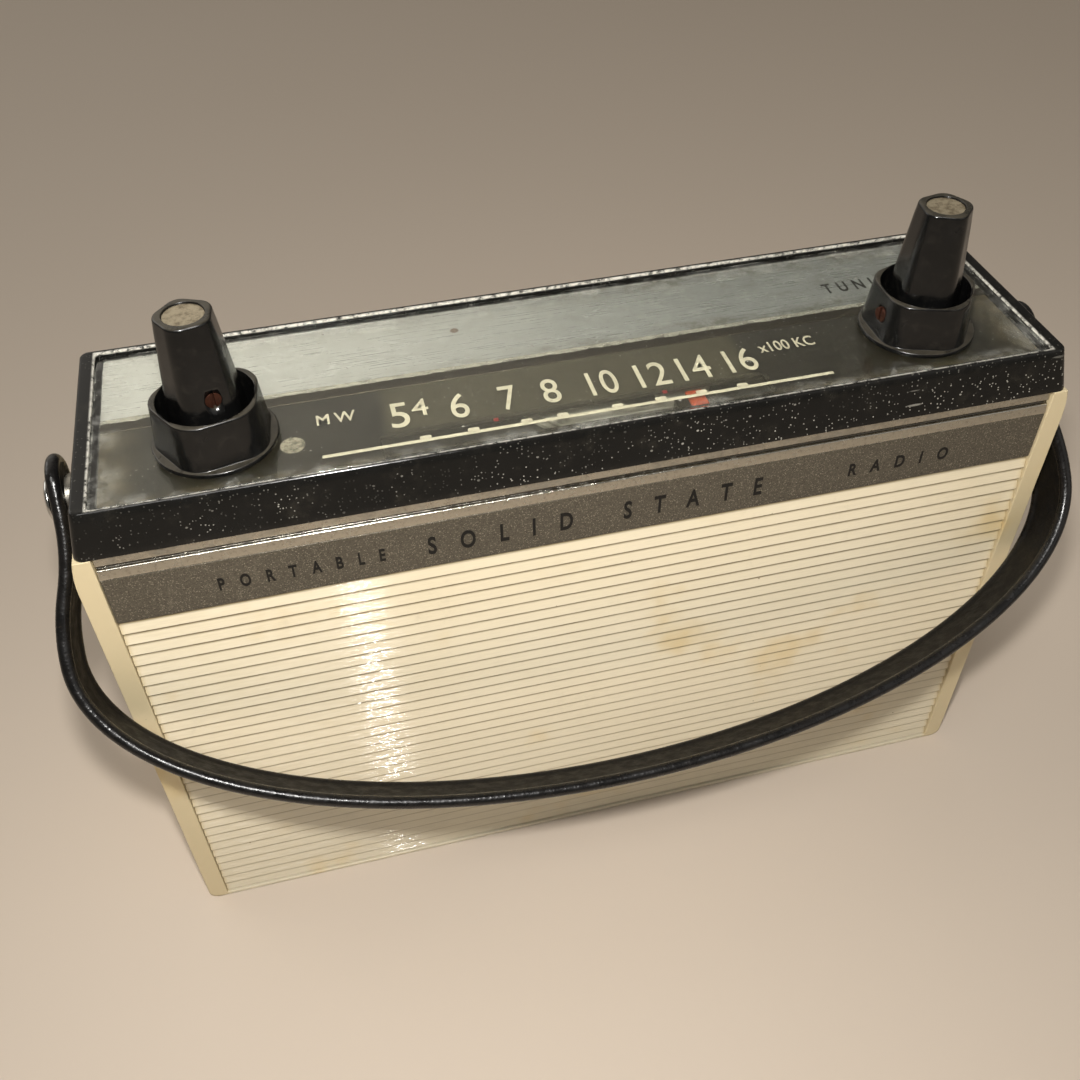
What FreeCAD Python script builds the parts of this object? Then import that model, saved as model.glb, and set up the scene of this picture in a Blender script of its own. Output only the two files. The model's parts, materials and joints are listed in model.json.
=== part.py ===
import FreeCAD, Part
import math
import os
from types import SimpleNamespace

import Sketcher
from FreeCAD import Placement, Rotation, Vector

# A portable transistor radio: an ivory cabinet with a ribbed front, a black top cap with a
# clear dial window, two concentric knobs and a carrying strap on side pivots.
# Frame: X to the right, Y to the back, Z up; the origin is the middle of the cabinet's base.

SIZES = {
    # cabinet
    "half_width": 120.0, "half_depth": 33.4, "case_height": 143.0, "case_wall": 2.6,
    "case_split": 22.0, "front_wall": 4.0, "corner_radius": 3.0, "shoulder_inset": 1.2,
    "shoulder_drop": 9.0, "rail_width": 5.0, "window_ledge": 3.0, "ledge_depth": 2.4,
    "front_sill": 1.2, "window_sill": 4.0, "fit_gap": 0.15,
    # ribbed panel and trim
    "rib_top": 122.3, "rib_pitch": 3.77, "rib_count": 32, "rib_edge": 0.6, "rib_slope": 1.0,
    "panel_low": 1.4, "panel_back": 29.6, "slot_height": 0.8, "slot_count": 21,
    "band_top": 136.2, "band_thick": 1.1, "moulding_top": 142.9,
    # top cap
    "cap_top": 154.08, "cap_bottom_inset": 1.4, "cap_top_inset": 3.4, "cap_front_inset": 2.9,
    "cap_cavity_width": 115.8, "cap_cavity_depth": 29.9, "cap_roof": 149.4,
    "window_width": 113.0, "window_front": 29.6, "window_back": 29.0, "seat_level": 152.0,
    "plate_level": 150.6, "plate_width": 111.3, "plate_front": 28.1, "plate_back": 27.4,
    "ledge_width": 108.5, "lens_top": 153.9, "bevel_start": 21.7, "bevel_low": 152.6,
    "dial_back": 1.7, "dial_thick": 0.8, "silver_front": 2.8, "silver_thick": 1.0,
    "slot_left": 49.5, "slot_right": 42.5, "slot_front": 27.6, "slot_back": 19.2,
    "pillar_x": 113.5, "pillar_radius": 2.2, "pillar_front": 24.0, "pillar_back": 17.0,
    # knobs
    "knob_x": 85.2, "knob_y": 12.8, "shaft_hole": 5.2, "knob_base": 154.4,
    "ring_lip_radius": 14.0, "ring_lip": 1.2, "ring_low_radius": 13.3, "ring_top_radius": 12.2,
    "ring_height": 12.0, "ring_corner": 6.5, "cup_radius": 10.6, "cup_floor": 157.4,
    "cone_base": 158.0, "cone_top": 187.0, "cone_low_radius": 9.3, "cone_top_radius": 6.3,
    "cone_low_corner": 4.6, "cone_top_corner": 3.4, "inlay_radius": 4.4, "inlay_sink": 0.9,
    "cone_bore_top": 181.0, "set_screw_radius": 1.8, "set_screw_level": 169.6,
    "ring_screw_level": 161.2,
    "volume_radius": 2.0, "tone_radius": 3.0, "spindle_radius": 3.0, "running_gap": 0.06,
    "bush_radius": 4.5, "bush_top": 146.0,
    # chassis and drive
    "chassis_level": 139.0, "chassis_thick": 1.0, "chassis_width": 114.6,
    "chassis_front": 28.0, "chassis_back": 21.0,
    "cord_level": 144.0, "cord_radius": 0.4, "groove_gap": 0.15,
    "drum_x": 10.0, "drum_y": 2.0, "drum_cord_radius": 25.3, "drum_rim": 1.0,
    "wheel_half": 1.6, "idler_x": 63.0, "idler_y": 23.0, "idler_cord_radius": 4.2,
    "idler_bore": 1.26, "pin_radius": 1.2, "spindle_cord_radius": 3.1,
    "rail_level": 147.8, "rail_radius": 1.0, "rail_half": 55.0, "bracket_x": 53.0,
    "pointer_x": 25.0, "pointer_width": 4.0, "pointer_level": 149.5,
    "capacitor_half": 13.0, "capacitor_low": 117.0, "capacitor_top": 137.0,
    "pot_radius": 11.0, "pot_low": 124.0, "pot_top": 137.4, "switch_radius": 9.0,
    "switch_low": 117.0,
    # strap
    "pivot_y": -5.0, "pivot_z": 138.5, "strap_tilt": 38.5, "strap_width": 15.0,
    "strap_thick": 3.2, "strap_tab_x": 123.4, "tab_length": 5.0, "tab_end": 10.5,
    "loop_width": 128.6, "loop_depth": 55.0, "loop_centre": 38.0, "strap_hole": 2.55,
    "pivot_radius": 2.47, "pivot_flange": 5.5, "flange_face": 121.5, "rivet_radius": 5.8,
    "rivet_face": 125.2, "rivet_height": 1.7,
    # loudspeaker
    "speaker_x": -58.0, "speaker_z": 62.0, "speaker_radius": 45.0, "magnet_radius": 17.0,
    # rear cover
    "back_wall": 2.4, "vent_count": 12, "vent_pitch": 5.6, "vent_height": 2.2,
    "coin_x": -4.0, "coin_z": 13.0, "coin_radius": 6.4, "coin_shank": 2.4,
    # battery, board, aerial
    "cell_radius": 13.1, "cell_length": 49.0, "tray_left": 6.5, "tray_right": 113.5,
    "tray_low": 2.8, "tray_high": 33.0, "tray_wall": 1.4,
    "board_left": -6.0, "board_right": 111.0, "board_low": 38.0, "board_high": 117.0,
    "board_front": 1.0, "board_thick": 1.6,
    "rod_radius": 4.8, "rod_half": 72.0, "rod_y": 23.5, "rod_z": 131.0,
    # earphone socket
    "socket_y": -8.0, "socket_z": 96.0, "socket_bore": 1.8, "socket_radius": 3.6,
    "socket_length": 12.0,
}


class Size:
    """A length that carries its formula in the sheet's aliases beside its value."""

    def __init__(self, value, formula):
        self.value = float(value)
        self.formula = formula

    @staticmethod
    def of(item):
        return item if isinstance(item, Size) else Size(item, repr(float(item)))

    def __add__(self, other):
        other = Size.of(other)
        return Size(self.value + other.value, f"({self.formula} + {other.formula})")

    def __sub__(self, other):
        other = Size.of(other)
        return Size(self.value - other.value, f"({self.formula} - {other.formula})")

    def __mul__(self, other):
        other = Size.of(other)
        return Size(self.value * other.value, f"({self.formula} * {other.formula})")

    def __truediv__(self, other):
        other = Size.of(other)
        return Size(self.value / other.value, f"({self.formula} / {other.formula})")

    def __radd__(self, other):
        return Size.of(other) + self

    def __rsub__(self, other):
        return Size.of(other) - self

    def __rmul__(self, other):
        return Size.of(other) * self

    def __neg__(self):
        return Size(-self.value, f"(0 - {self.formula})")

    def __float__(self):
        return self.value


doc = FreeCAD.newDocument("PortableRadio")
sheet = doc.addObject("Spreadsheet::Sheet", "Sizes")
for row, (alias, number) in enumerate(SIZES.items(), 1):
    sheet.set(f"A{row}", alias)
    sheet.set(f"B{row}", str(number))
    sheet.setAlias(f"B{row}", alias)
doc.recompute()
S = SimpleNamespace(**{alias: Size(sheet.get(alias), f"Sizes.{alias}") for alias in SIZES})

nodes = {}


def bind(item, path, size):
    """Bind one property of an object to a formula of the sheet."""
    item.setExpression(path, Size.of(size).formula)


def keep(item, node):
    """Name a finished sub-part as a node of the assembly."""
    item.Label = node
    nodes[node] = item
    return item


# ---------------------------------------------------------------- sketches

def rectangle(sketch, left, right, low, high):
    """A rectangle whose four sides are bound to the sheet."""
    sides = [Size.of(side) for side in (left, right, low, high)]
    x0, x1, y0, y1 = (side.value for side in sides)
    corners = [Vector(x0, y0), Vector(x1, y0), Vector(x1, y1), Vector(x0, y1)]
    first = sketch.GeometryCount
    for index in range(4):
        sketch.addGeometry(Part.LineSegment(corners[index], corners[(index + 1) % 4]), False)
    for index in range(4):
        follower = first + (index + 1) % 4
        sketch.addConstraint(Sketcher.Constraint("Coincident", first + index, 2, follower, 1))
    for offset, kind in enumerate(("Horizontal", "Vertical", "Horizontal", "Vertical")):
        sketch.addConstraint(Sketcher.Constraint(kind, first + offset))
    places = (("DistanceX", first, 1), ("DistanceX", first + 1, 1),
              ("DistanceY", first, 1), ("DistanceY", first + 2, 1))
    for (kind, edge, point), side in zip(places, sides):
        rule = Sketcher.Constraint(kind, -1, 1, edge, point, side.value)
        bind(sketch, f"Constraints[{sketch.addConstraint(rule)}]", side)


def circle(sketch, across, up, radius):
    """A circle whose centre and radius are bound to the sheet."""
    across, up, radius = Size.of(across), Size.of(up), Size.of(radius)
    centre = Vector(across.value, up.value)
    edge = sketch.addGeometry(Part.Circle(centre, Vector(0, 0, 1), radius.value), False)
    rules = ((Sketcher.Constraint("DistanceX", -1, 1, edge, 3, across.value), across),
             (Sketcher.Constraint("DistanceY", -1, 1, edge, 3, up.value), up),
             (Sketcher.Constraint("Radius", edge, radius.value), radius))
    for rule, size in rules:
        bind(sketch, f"Constraints[{sketch.addConstraint(rule)}]", size)


def polygon(sketch, points):
    """A closed outline of straight lines through (across, up) points."""
    corners = [Vector(float(across), float(up)) for across, up in points]
    first = sketch.GeometryCount
    count = len(corners)
    for index in range(count):
        sketch.addGeometry(Part.LineSegment(corners[index], corners[(index + 1) % count]), False)
    for index in range(count):
        follower = first + (index + 1) % count
        sketch.addConstraint(Sketcher.Constraint("Coincident", first + index, 2, follower, 1))


def chain(sketch, curves):
    """A closed outline of curves that follow each other end to end."""
    for curve in curves:
        sketch.addGeometry(curve, False)


def rounded_polygon_curves(sides, reach, corner, turn):
    """Lines and corner arcs of a regular polygon whose rounded corners reach a radius."""
    half = math.pi / sides
    centre_radius = reach - corner
    curves = []
    for index in range(sides):
        angle = turn + 2 * half * index
        centre = Vector(centre_radius * math.cos(angle), centre_radius * math.sin(angle))
        rim = Part.Circle(centre, Vector(0, 0, 1), corner)
        arc = Part.ArcOfCircle(rim, angle - half, angle + half)
        after = angle + 2 * half
        follow = Vector(centre_radius * math.cos(after), centre_radius * math.sin(after))
        out = Vector(math.cos(angle + half), math.sin(angle + half)) * corner
        curves += [arc, Part.LineSegment(centre + out, follow + out)]
    return curves


# ---------------------------------------------------------------- bodies

CHASSIS_SCREW_YS = (-14.5, 6.5)
BOARD_SCREW_XS = (37, 97)
ROLES = {"XY": "XY_Plane", "XZ": "XZ_Plane", "YZ": "YZ_Plane"}
# the sketch plane's normal points along -Y on the XZ plane, and along +Z and +X on the others
NORMAL_SIGN = {"XY": 1, "XZ": -1, "YZ": 1}


def origin_feature(body, role):
    return next(item for item in body.Origin.OriginFeatures if item.Role == role)


class Piece:
    """A PartDesign body that is built from sketches across one axis at a time."""

    def __init__(self, node):
        self.body = doc.addObject("PartDesign::Body", node)
        keep(self.body, node)
        self.last = None

    def sketch(self, plane, level, draw):
        sketch = self.body.newObject("Sketcher::SketchObject", "outline")
        sketch.AttachmentSupport = [(origin_feature(self.body, ROLES[plane]), "")]
        sketch.MapMode = "FlatFace"
        bind(sketch, "AttachmentOffset.Base.z", NORMAL_SIGN[plane] * Size.of(level))
        draw(sketch)
        return sketch

    def finish(self, feature):
        self.body.Tip = feature
        self.last = feature
        doc.recompute()
        return self

    def pad(self, plane, low, high, draw):
        """Add material between two levels of the plane's axis."""
        low, high = Size.of(low), Size.of(high)
        start = low if NORMAL_SIGN[plane] > 0 else high
        feature = self.body.newObject("PartDesign::Pad", "pad")
        feature.Profile = self.sketch(plane, start, draw)
        bind(feature, "Length", high - low)
        return self.finish(feature)

    def pocket(self, plane, low, high, draw):
        """Take material away between two levels of the plane's axis."""
        low, high = Size.of(low), Size.of(high)
        start = high if NORMAL_SIGN[plane] > 0 else low
        before = self.body.Shape.Volume
        feature = self.body.newObject("PartDesign::Pocket", "pocket")
        feature.Profile = self.sketch(plane, start, draw)
        bind(feature, "Length", high - low)
        self.finish(feature)
        if self.body.Shape.Volume >= before:
            raise SystemExit(f"pocket on {self.body.Label} cuts nothing")
        return self

    def revolve(self, draw, plane="XZ", axis="Z_Axis"):
        """Turn a profile right round an axis of the body."""
        feature = self.body.newObject("PartDesign::Revolution", "revolution")
        feature.Profile = self.sketch(plane, 0, draw)
        feature.ReferenceAxis = (origin_feature(self.body, axis), [""])
        feature.Angle = 360
        return self.finish(feature)

    def loft(self, low, high, draw_low, draw_high):
        """Add a loft between two sketches parallel to the XY plane."""
        feature = self.body.newObject("PartDesign::AdditiveLoft", "loft")
        feature.Profile = self.sketch("XY", low, draw_low)
        feature.Sections = [self.sketch("XY", high, draw_high)]
        feature.Ruled = True
        return self.finish(feature)

    def mirror(self, role="YZ_Plane"):
        """Repeat the last feature on the other side of a plane."""
        feature = self.body.newObject("PartDesign::Mirrored", "mirror")
        feature.Originals = [self.last]
        feature.MirrorPlane = (origin_feature(self.body, role), [""])
        return self.finish(feature)

    def row(self, role, pitch, count, reverse=False):
        """Repeat the last feature in a row along an axis of the body."""
        feature = self.body.newObject("PartDesign::LinearPattern", "row")
        feature.Originals = [self.last]
        feature.Direction = (origin_feature(self.body, role), [""])
        feature.Reversed = reverse
        bind(feature, "Length", pitch * (count - 1))
        bind(feature, "Occurrences", count)
        return self.finish(feature)

    def ring(self, count):
        """Repeat the last feature round the body's Z axis."""
        feature = self.body.newObject("PartDesign::PolarPattern", "ring")
        feature.Originals = [self.last]
        feature.Axis = (origin_feature(self.body, "Z_Axis"), [""])
        feature.Angle = 360
        feature.Occurrences = count
        return self.finish(feature)

    def fillet(self, radius, wanted):
        """Round the edges that a test picks."""
        names = [f"Edge{index}" for index, edge in enumerate(self.body.Shape.Edges, 1)
                 if wanted(edge)]
        feature = self.body.newObject("PartDesign::Fillet", "fillet")
        feature.Base = (self.last, names)
        bind(feature, "Radius", radius)
        return self.finish(feature)

    def place(self, x=0, y=0, z=0, rotation=None):
        """Move the whole body to its place in the assembly."""
        if rotation is not None:
            self.body.Placement = Placement(Vector(0, 0, 0), rotation)
        for axis, size in zip("xyz", (x, y, z)):
            bind(self.body, f"Placement.Base.{axis}", size)
        doc.recompute()
        return self


def rect(left, right, low, high):
    return lambda sketch: rectangle(sketch, left, right, low, high)


def disc(across, up, radius):
    return lambda sketch: circle(sketch, across, up, radius)


def outline(points):
    return lambda sketch: polygon(sketch, points)


# ---------------------------------------------------------------- primitives

def box(x, y, z):
    """A box between three pairs of bound limits."""
    item = doc.addObject("Part::Box", "box")
    for name, axis, (low, high) in zip(("Length", "Width", "Height"), "xyz", (x, y, z)):
        bind(item, name, Size.of(high) - Size.of(low))
        bind(item, f"Placement.Base.{axis}", low)
    return item


TURNS = {"x": Rotation(Vector(0, 1, 0), 90), "y": Rotation(Vector(1, 0, 0), -90),
         "z": Rotation()}


def rod(axis, centre, low, high, radius):
    """A cylinder along one axis; the centre gives the two other coordinates in order."""
    item = doc.addObject("Part::Cylinder", "rod")
    item.Placement = Placement(Vector(0, 0, 0), TURNS[axis])
    bind(item, "Radius", radius)
    bind(item, "Height", Size.of(high) - Size.of(low))
    bind(item, f"Placement.Base.{axis}", low)
    for name, size in zip([letter for letter in "xyz" if letter != axis], centre):
        bind(item, f"Placement.Base.{name}", size)
    return item


def join(*items):
    """One solid from pieces that overlap or touch."""
    item = doc.addObject("Part::MultiFuse", "joined")
    item.Shapes = list(items)
    item.Refine = True
    return item


def group(*items):
    """Several separate solids kept as one node."""
    item = doc.addObject("Part::Compound", "group")
    item.Links = list(items)
    return item


def cut(base, tool):
    item = doc.addObject("Part::Cut", "cut")
    item.Base = base
    item.Tool = tool
    return item


def tube(axis, centre, low, high, outer, inner):
    """A cylinder with a hole along its axis."""
    return cut(rod(axis, centre, low, high, outer),
               rod(axis, centre, Size.of(low) - 1, Size.of(high) + 1, inner))


# ---------------------------------------------------------------- cabinet

def case_outline(sketch):
    """The cabinet from the front: rounded bottom corners and shoulders that lean in."""
    half, high = float(S.half_width), float(S.case_height)
    corner, inset, drop = (float(S.corner_radius), float(S.shoulder_inset),
                           float(S.shoulder_drop))
    lean = (drop ** 2 + inset ** 2) / (2 * inset)
    mid_angle = math.asin(drop / lean) / 2
    mid = Vector(half - lean + lean * math.cos(mid_angle), high - drop + lean * math.sin(mid_angle))
    knee, top = Vector(half, high - drop), Vector(half - inset, high)
    foot, toe = Vector(half, corner), Vector(half - corner, 0)
    heel = Vector(half - corner * (1 - math.sqrt(0.5)), corner * (1 - math.sqrt(0.5)))
    flip = lambda point: Vector(-point.x, point.y)
    chain(sketch, [
        Part.LineSegment(flip(toe), toe),
        Part.Arc(toe, heel, foot),
        Part.LineSegment(foot, knee),
        Part.Arc(knee, mid, top),
        Part.LineSegment(top, flip(top)),
        Part.Arc(flip(top), flip(mid), flip(knee)),
        Part.LineSegment(flip(knee), flip(foot)),
        Part.Arc(flip(foot), flip(heel), flip(toe)),
    ])


def front_case():
    """Ivory moulding: front frame with two proud rails, sides and bottom."""
    inner = S.half_width - S.case_wall
    over = S.case_height + 1
    window = S.half_width - S.rail_width - S.window_ledge
    rebate = S.half_width - S.rail_width
    ledge = -S.half_depth + S.ledge_depth
    piece = Piece("front_case")
    piece.pad("XZ", -S.half_depth, S.case_split, case_outline)
    piece.pocket("XZ", -S.half_depth + S.front_wall, S.case_split + 1,
                 rect(-inner, inner, S.case_wall, over))
    piece.pocket("XZ", -S.half_depth - 1, S.case_split,
                 rect(-window, window, S.window_sill, over))
    piece.pocket("XZ", -S.half_depth - 1, ledge, rect(-rebate, rebate, S.front_sill, over))
    # blocks on the side walls that carry the chassis plate
    block_low, block_in = S.chassis_level - 8, inner - 10
    for front, back in ((-18, -11), (3, 10)):
        piece.pad("XZ", front, back, rect(block_in, inner + 1, block_low, S.chassis_level))
        piece.mirror()
    for screw_y in CHASSIS_SCREW_YS:
        piece.pocket("XY", block_low + 1, S.chassis_level + 1, disc(inner - 6, screw_y, 1.3))
        piece.mirror()
    # boss for the coin screw, on the floor
    piece.pad("XZ", 11, 19.4, rect(S.coin_x - 5, S.coin_x + 5, S.case_wall - 0.5, S.coin_z + 5))
    piece.pocket("XZ", 12.5, S.case_split + 1, disc(S.coin_x, S.coin_z, S.coin_shank + 0.08))
    # pivot holes through both sides, and the socket's hole in the right side
    piece.pocket("YZ", -S.half_width - 1, S.half_width + 1,
                 disc(S.pivot_y, S.pivot_z, S.pivot_radius))
    piece.pocket("YZ", inner - 1, S.half_width + 1,
                 disc(S.socket_y, S.socket_z, S.socket_radius))


def front_grille_panel():
    """Ribbed panel: each slat leans out to a lip over the next, with sound slots beneath."""
    width = S.half_width - S.rail_width - S.fit_gap
    inset = S.half_width - S.rail_width - S.window_ledge - 0.3
    face = -S.half_depth + S.rib_edge
    root = face + S.rib_slope
    ledge = -S.half_depth + S.ledge_depth - 0.02
    piece = Piece("front_grille_panel")
    piece.pad("XZ", root, ledge, rect(-width, width, S.panel_low, S.rib_top))
    piece.pad("XZ", ledge, -S.panel_back, rect(-inset, inset, S.window_sill + 0.3, S.rib_top - 1))
    slat = [(ledge, S.rib_top), (root, S.rib_top), (face, S.rib_top - S.rib_pitch),
            (ledge, S.rib_top - S.rib_pitch)]
    piece.pad("YZ", -width, width, outline(slat))
    piece.row("Z_Axis", S.rib_pitch, S.rib_count, reverse=True)
    # sound slots under the lips in front of the loudspeaker
    slot_top = S.rib_top - S.rib_pitch * 6 - 0.05
    reach = S.speaker_radius - 6
    piece.pocket("XZ", -S.half_depth - 1, -S.panel_back + 1,
                 rect(S.speaker_x - reach, S.speaker_x + reach, slot_top - S.slot_height, slot_top))
    piece.row("Z_Axis", S.rib_pitch, S.slot_count, reverse=True)


def trim_band():
    """Anodised band between the rails, above the ribs."""
    width = S.half_width - S.rail_width - S.fit_gap
    face = -S.half_depth + S.rib_edge
    Piece("trim_band").pad("XZ", face, face + S.band_thick,
                           rect(-width, width, S.rib_top + 0.02, S.band_top))


def bright_moulding():
    """Bright strip over the band: a flat, a groove and a polished bevel."""
    width = S.half_width - S.rail_width - S.fit_gap
    face = float(-S.half_depth + S.rib_edge)
    back = float(-S.half_depth + S.ledge_depth) - 0.02
    low, high = float(S.band_top) + 0.02, float(S.moulding_top)
    profile = [(back, low), (face, low), (face - 0.3, low + 0.5), (face + 0.1, low + 2.9),
               (face + 0.9, low + 3.2), (face + 0.9, low + 4.0), (face + 0.2, low + 4.2),
               (face + 0.5, high), (back, high)]
    Piece("bright_moulding").pad("YZ", -width, width, outline(profile))


def rear_cover():
    """Ivory back, open at the top under the cap, with sound slots and a seat for the screw."""
    inner = S.half_width - S.case_wall
    inside = S.half_depth - S.back_wall
    piece = Piece("rear_cover")
    piece.pad("XZ", S.case_split, S.half_depth, case_outline)
    piece.pocket("XZ", S.case_split - 1, inside,
                 rect(-inner, inner, S.case_wall, S.case_height + 1))
    # a tongue along the floor that locates the cover in the case
    tongue = S.case_wall + 0.3
    piece.pad("XZ", S.case_split - 2, inside + 1, rect(-100, -20, tongue - 0.31, tongue + 1.2))
    piece.pocket("XZ", S.case_split - 3, S.case_split, rect(-101, -19, 0, tongue))
    # coin screw seat
    piece.pad("XZ", S.half_depth - 6.4, inside + 1, disc(S.coin_x, S.coin_z, 9.0))
    piece.pocket("XZ", S.half_depth - 3.2, S.half_depth + 1,
                 disc(S.coin_x, S.coin_z, S.coin_radius + 0.5))
    piece.pocket("XZ", S.case_split, S.half_depth + 1,
                 disc(S.coin_x, S.coin_z, S.coin_shank + 0.08))
    # sound slots behind the loudspeaker
    vent_top = S.speaker_z + S.vent_pitch * (S.vent_count - 1) / 2 + S.vent_height / 2
    piece.pocket("XZ", inside - 1, S.half_depth + 1,
                 rect(S.speaker_x - 38, S.speaker_x + 38, vent_top - S.vent_height, vent_top))
    piece.row("Z_Axis", S.vent_pitch, S.vent_count, reverse=True)


def cover_screw():
    """Coin-slot screw that holds the cover; it stays in the cover when that comes off."""
    seat = S.half_depth - 3.2 + 0.1
    centre = (S.coin_x, S.coin_z)
    head = rod("y", centre, seat, seat + 2.4, S.coin_radius)
    slot = box((S.coin_x - 7, S.coin_x + 7), (seat + 1.2, seat + 3), (S.coin_z - 0.9, S.coin_z + 0.9))
    shank = rod("y", centre, 13.0, seat, S.coin_shank)
    keep(join(cut(head, slot), shank), "cover_screw")


# ---------------------------------------------------------------- top cap and dial

def rounded_rect_curves(half_x, half_y, corner):
    """Lines and corner arcs of a rounded rectangle about the origin."""
    curves = []
    signs = ((1, 1), (-1, 1), (-1, -1), (1, -1))
    for index, (sx, sy) in enumerate(signs):
        nx, ny = signs[(index + 1) % 4]
        turn = math.pi / 2 * index
        centre = Vector(sx * (half_x - corner), sy * (half_y - corner))
        follow = Vector(nx * (half_x - corner), ny * (half_y - corner))
        rim = Part.Circle(centre, Vector(0, 0, 1), corner)
        out = Vector(math.cos(turn + math.pi / 2), math.sin(turn + math.pi / 2)) * corner
        curves += [Part.ArcOfCircle(rim, turn, turn + math.pi / 2),
                   Part.LineSegment(centre + out, follow + out)]
    return curves


def top_cap():
    """Black cap: walls that lean in, a roof with a window, and pillars down to the chassis."""
    foot = (float(S.half_width - S.cap_bottom_inset), float(S.half_depth), 2.4)
    crown = (float(S.half_width - S.cap_top_inset), float(S.half_depth - S.cap_front_inset), 2.0)
    piece = Piece("top_cap")
    piece.loft(S.case_height, S.cap_top,
               lambda sketch: chain(sketch, rounded_rect_curves(*foot)),
               lambda sketch: chain(sketch, rounded_rect_curves(*crown)))
    piece.pocket("XY", S.case_height - 1, S.cap_roof,
                 rect(-S.cap_cavity_width, S.cap_cavity_width,
                      -S.cap_cavity_depth, S.cap_cavity_depth))
    piece.pocket("XY", S.cap_roof - 1, S.cap_top,
                 rect(-S.ledge_width, S.ledge_width, -S.plate_front, S.plate_back))
    piece.pocket("XY", S.plate_level, S.cap_top,
                 rect(-S.plate_width - 0.2, S.plate_width + 0.2,
                      -S.plate_front - 0.1, S.plate_back + 0.1))
    piece.pocket("XY", S.seat_level, S.cap_top + 1,
                 rect(-S.window_width, S.window_width, -S.window_front, S.window_back))
    chassis_top = S.chassis_level + S.chassis_thick
    for pillar_y in (-S.pillar_front, S.pillar_back):
        piece.pad("XY", chassis_top, S.cap_roof + 0.5,
                  disc(S.pillar_x - 0.2, pillar_y, S.pillar_radius))
        piece.mirror()
        piece.pocket("XY", chassis_top - 1, chassis_top + 6, disc(S.pillar_x - 0.2, pillar_y, 1.0))
        piece.mirror()


def shaft_holes(piece, low, high):
    """Holes for both knob shafts."""
    piece.pocket("XY", low, high, disc(S.knob_x, -S.knob_y, S.shaft_hole))
    piece.mirror()


def dial_lens():
    """Clear window let into the cap, with its back edge bevelled down."""
    gap = 0.1
    piece = Piece("dial_lens")
    piece.pad("XY", S.seat_level, S.lens_top,
              rect(-S.window_width + gap, S.window_width - gap,
                   -S.window_front + gap, S.window_back - gap))
    bevel = [(S.bevel_start, S.lens_top), (S.window_back, S.bevel_low),
             (S.window_back, S.lens_top + 1), (S.bevel_start, S.lens_top + 1)]
    piece.pocket("YZ", -S.window_width, S.window_width, outline(bevel))
    shaft_holes(piece, S.seat_level - 1, S.lens_top + 1)


def dial_plate():
    """Brown dial plate with the pointer's slot."""
    top = S.plate_level + S.dial_thick
    piece = Piece("dial_plate")
    piece.pad("XY", S.plate_level, top,
              rect(-S.plate_width, S.plate_width, -S.plate_front, -S.dial_back))
    piece.pocket("XY", S.plate_level - 1, top + 1,
                 rect(-S.slot_left, S.slot_right, -S.slot_front, -S.slot_back))
    shaft_holes(piece, S.plate_level - 1, top + 1)


def silver_panel():
    """Brushed panel at the back of the dial."""
    Piece("silver_panel").pad("XY", S.plate_level, S.plate_level + S.silver_thick,
                              rect(-S.plate_width, S.plate_width, S.silver_front, S.plate_back))


def step_strip():
    """Bright step between the dial plate and the brushed panel."""
    low, top = float(S.plate_level), float(S.seat_level) - 0.05
    front, back = float(-S.dial_back) + 0.05, float(S.silver_front) - 0.05
    profile = [(front, low), (back, low), (back, top - 0.1), (back - 1.8, top),
               (front + 1.2, top), (front, low + 0.9)]
    Piece("step_strip").pad("YZ", -S.plate_width, S.plate_width, outline(profile))


# ---------------------------------------------------------------- knobs

def knob_ring(node, side, bore, turn):
    """Skirt ring with five soft facets over a round lip, hollowed for the cone."""
    low = S.knob_base + S.ring_lip
    high = S.knob_base + S.ring_height
    corner = float(S.ring_corner)
    piece = Piece(node)
    piece.pad("XY", S.knob_base, low, disc(0, 0, S.ring_lip_radius))
    piece.loft(low, high,
               lambda sketch: chain(sketch, rounded_polygon_curves(
                   5, float(S.ring_low_radius), corner, turn)),
               lambda sketch: chain(sketch, rounded_polygon_curves(
                   5, float(S.ring_top_radius), corner, turn)))
    piece.pocket("XY", S.cup_floor, high + 1, disc(0, 0, S.cup_radius))
    piece.pocket("XY", S.knob_base - 1, high, disc(0, 0, bore))
    piece.place(side * S.knob_x, -S.knob_y, 0)
    return piece


def knob_cone(node, side, bore, turn):
    """Tall tapering knob with five soft facets and a sunk inlay."""
    piece = Piece(node)
    piece.loft(S.cone_base, S.cone_top,
               lambda sketch: chain(sketch, rounded_polygon_curves(
                   5, float(S.cone_low_radius), float(S.cone_low_corner), turn)),
               lambda sketch: chain(sketch, rounded_polygon_curves(
                   5, float(S.cone_top_radius), float(S.cone_top_corner), turn)))
    piece.pocket("XY", S.cone_top - S.inlay_sink, S.cone_top + 1,
                 disc(0, 0, S.inlay_radius))
    piece.pocket("XY", S.cone_base - 1, S.cone_bore_top, disc(0, 0, bore))
    piece.place(side * S.knob_x, -S.knob_y, 0)
    return piece


def radial_hole(piece, level, azimuth, start, end):
    """A set screw's hole along the body's own X axis, which then turns to its azimuth."""
    piece.pocket("YZ", start, end, disc(0, level, S.set_screw_radius + 0.02))
    angle = Rotation(Vector(0, 0, 1), azimuth)
    base = piece.body.Placement.Base
    piece.body.Placement = Placement(base, angle)
    doc.recompute()


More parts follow.
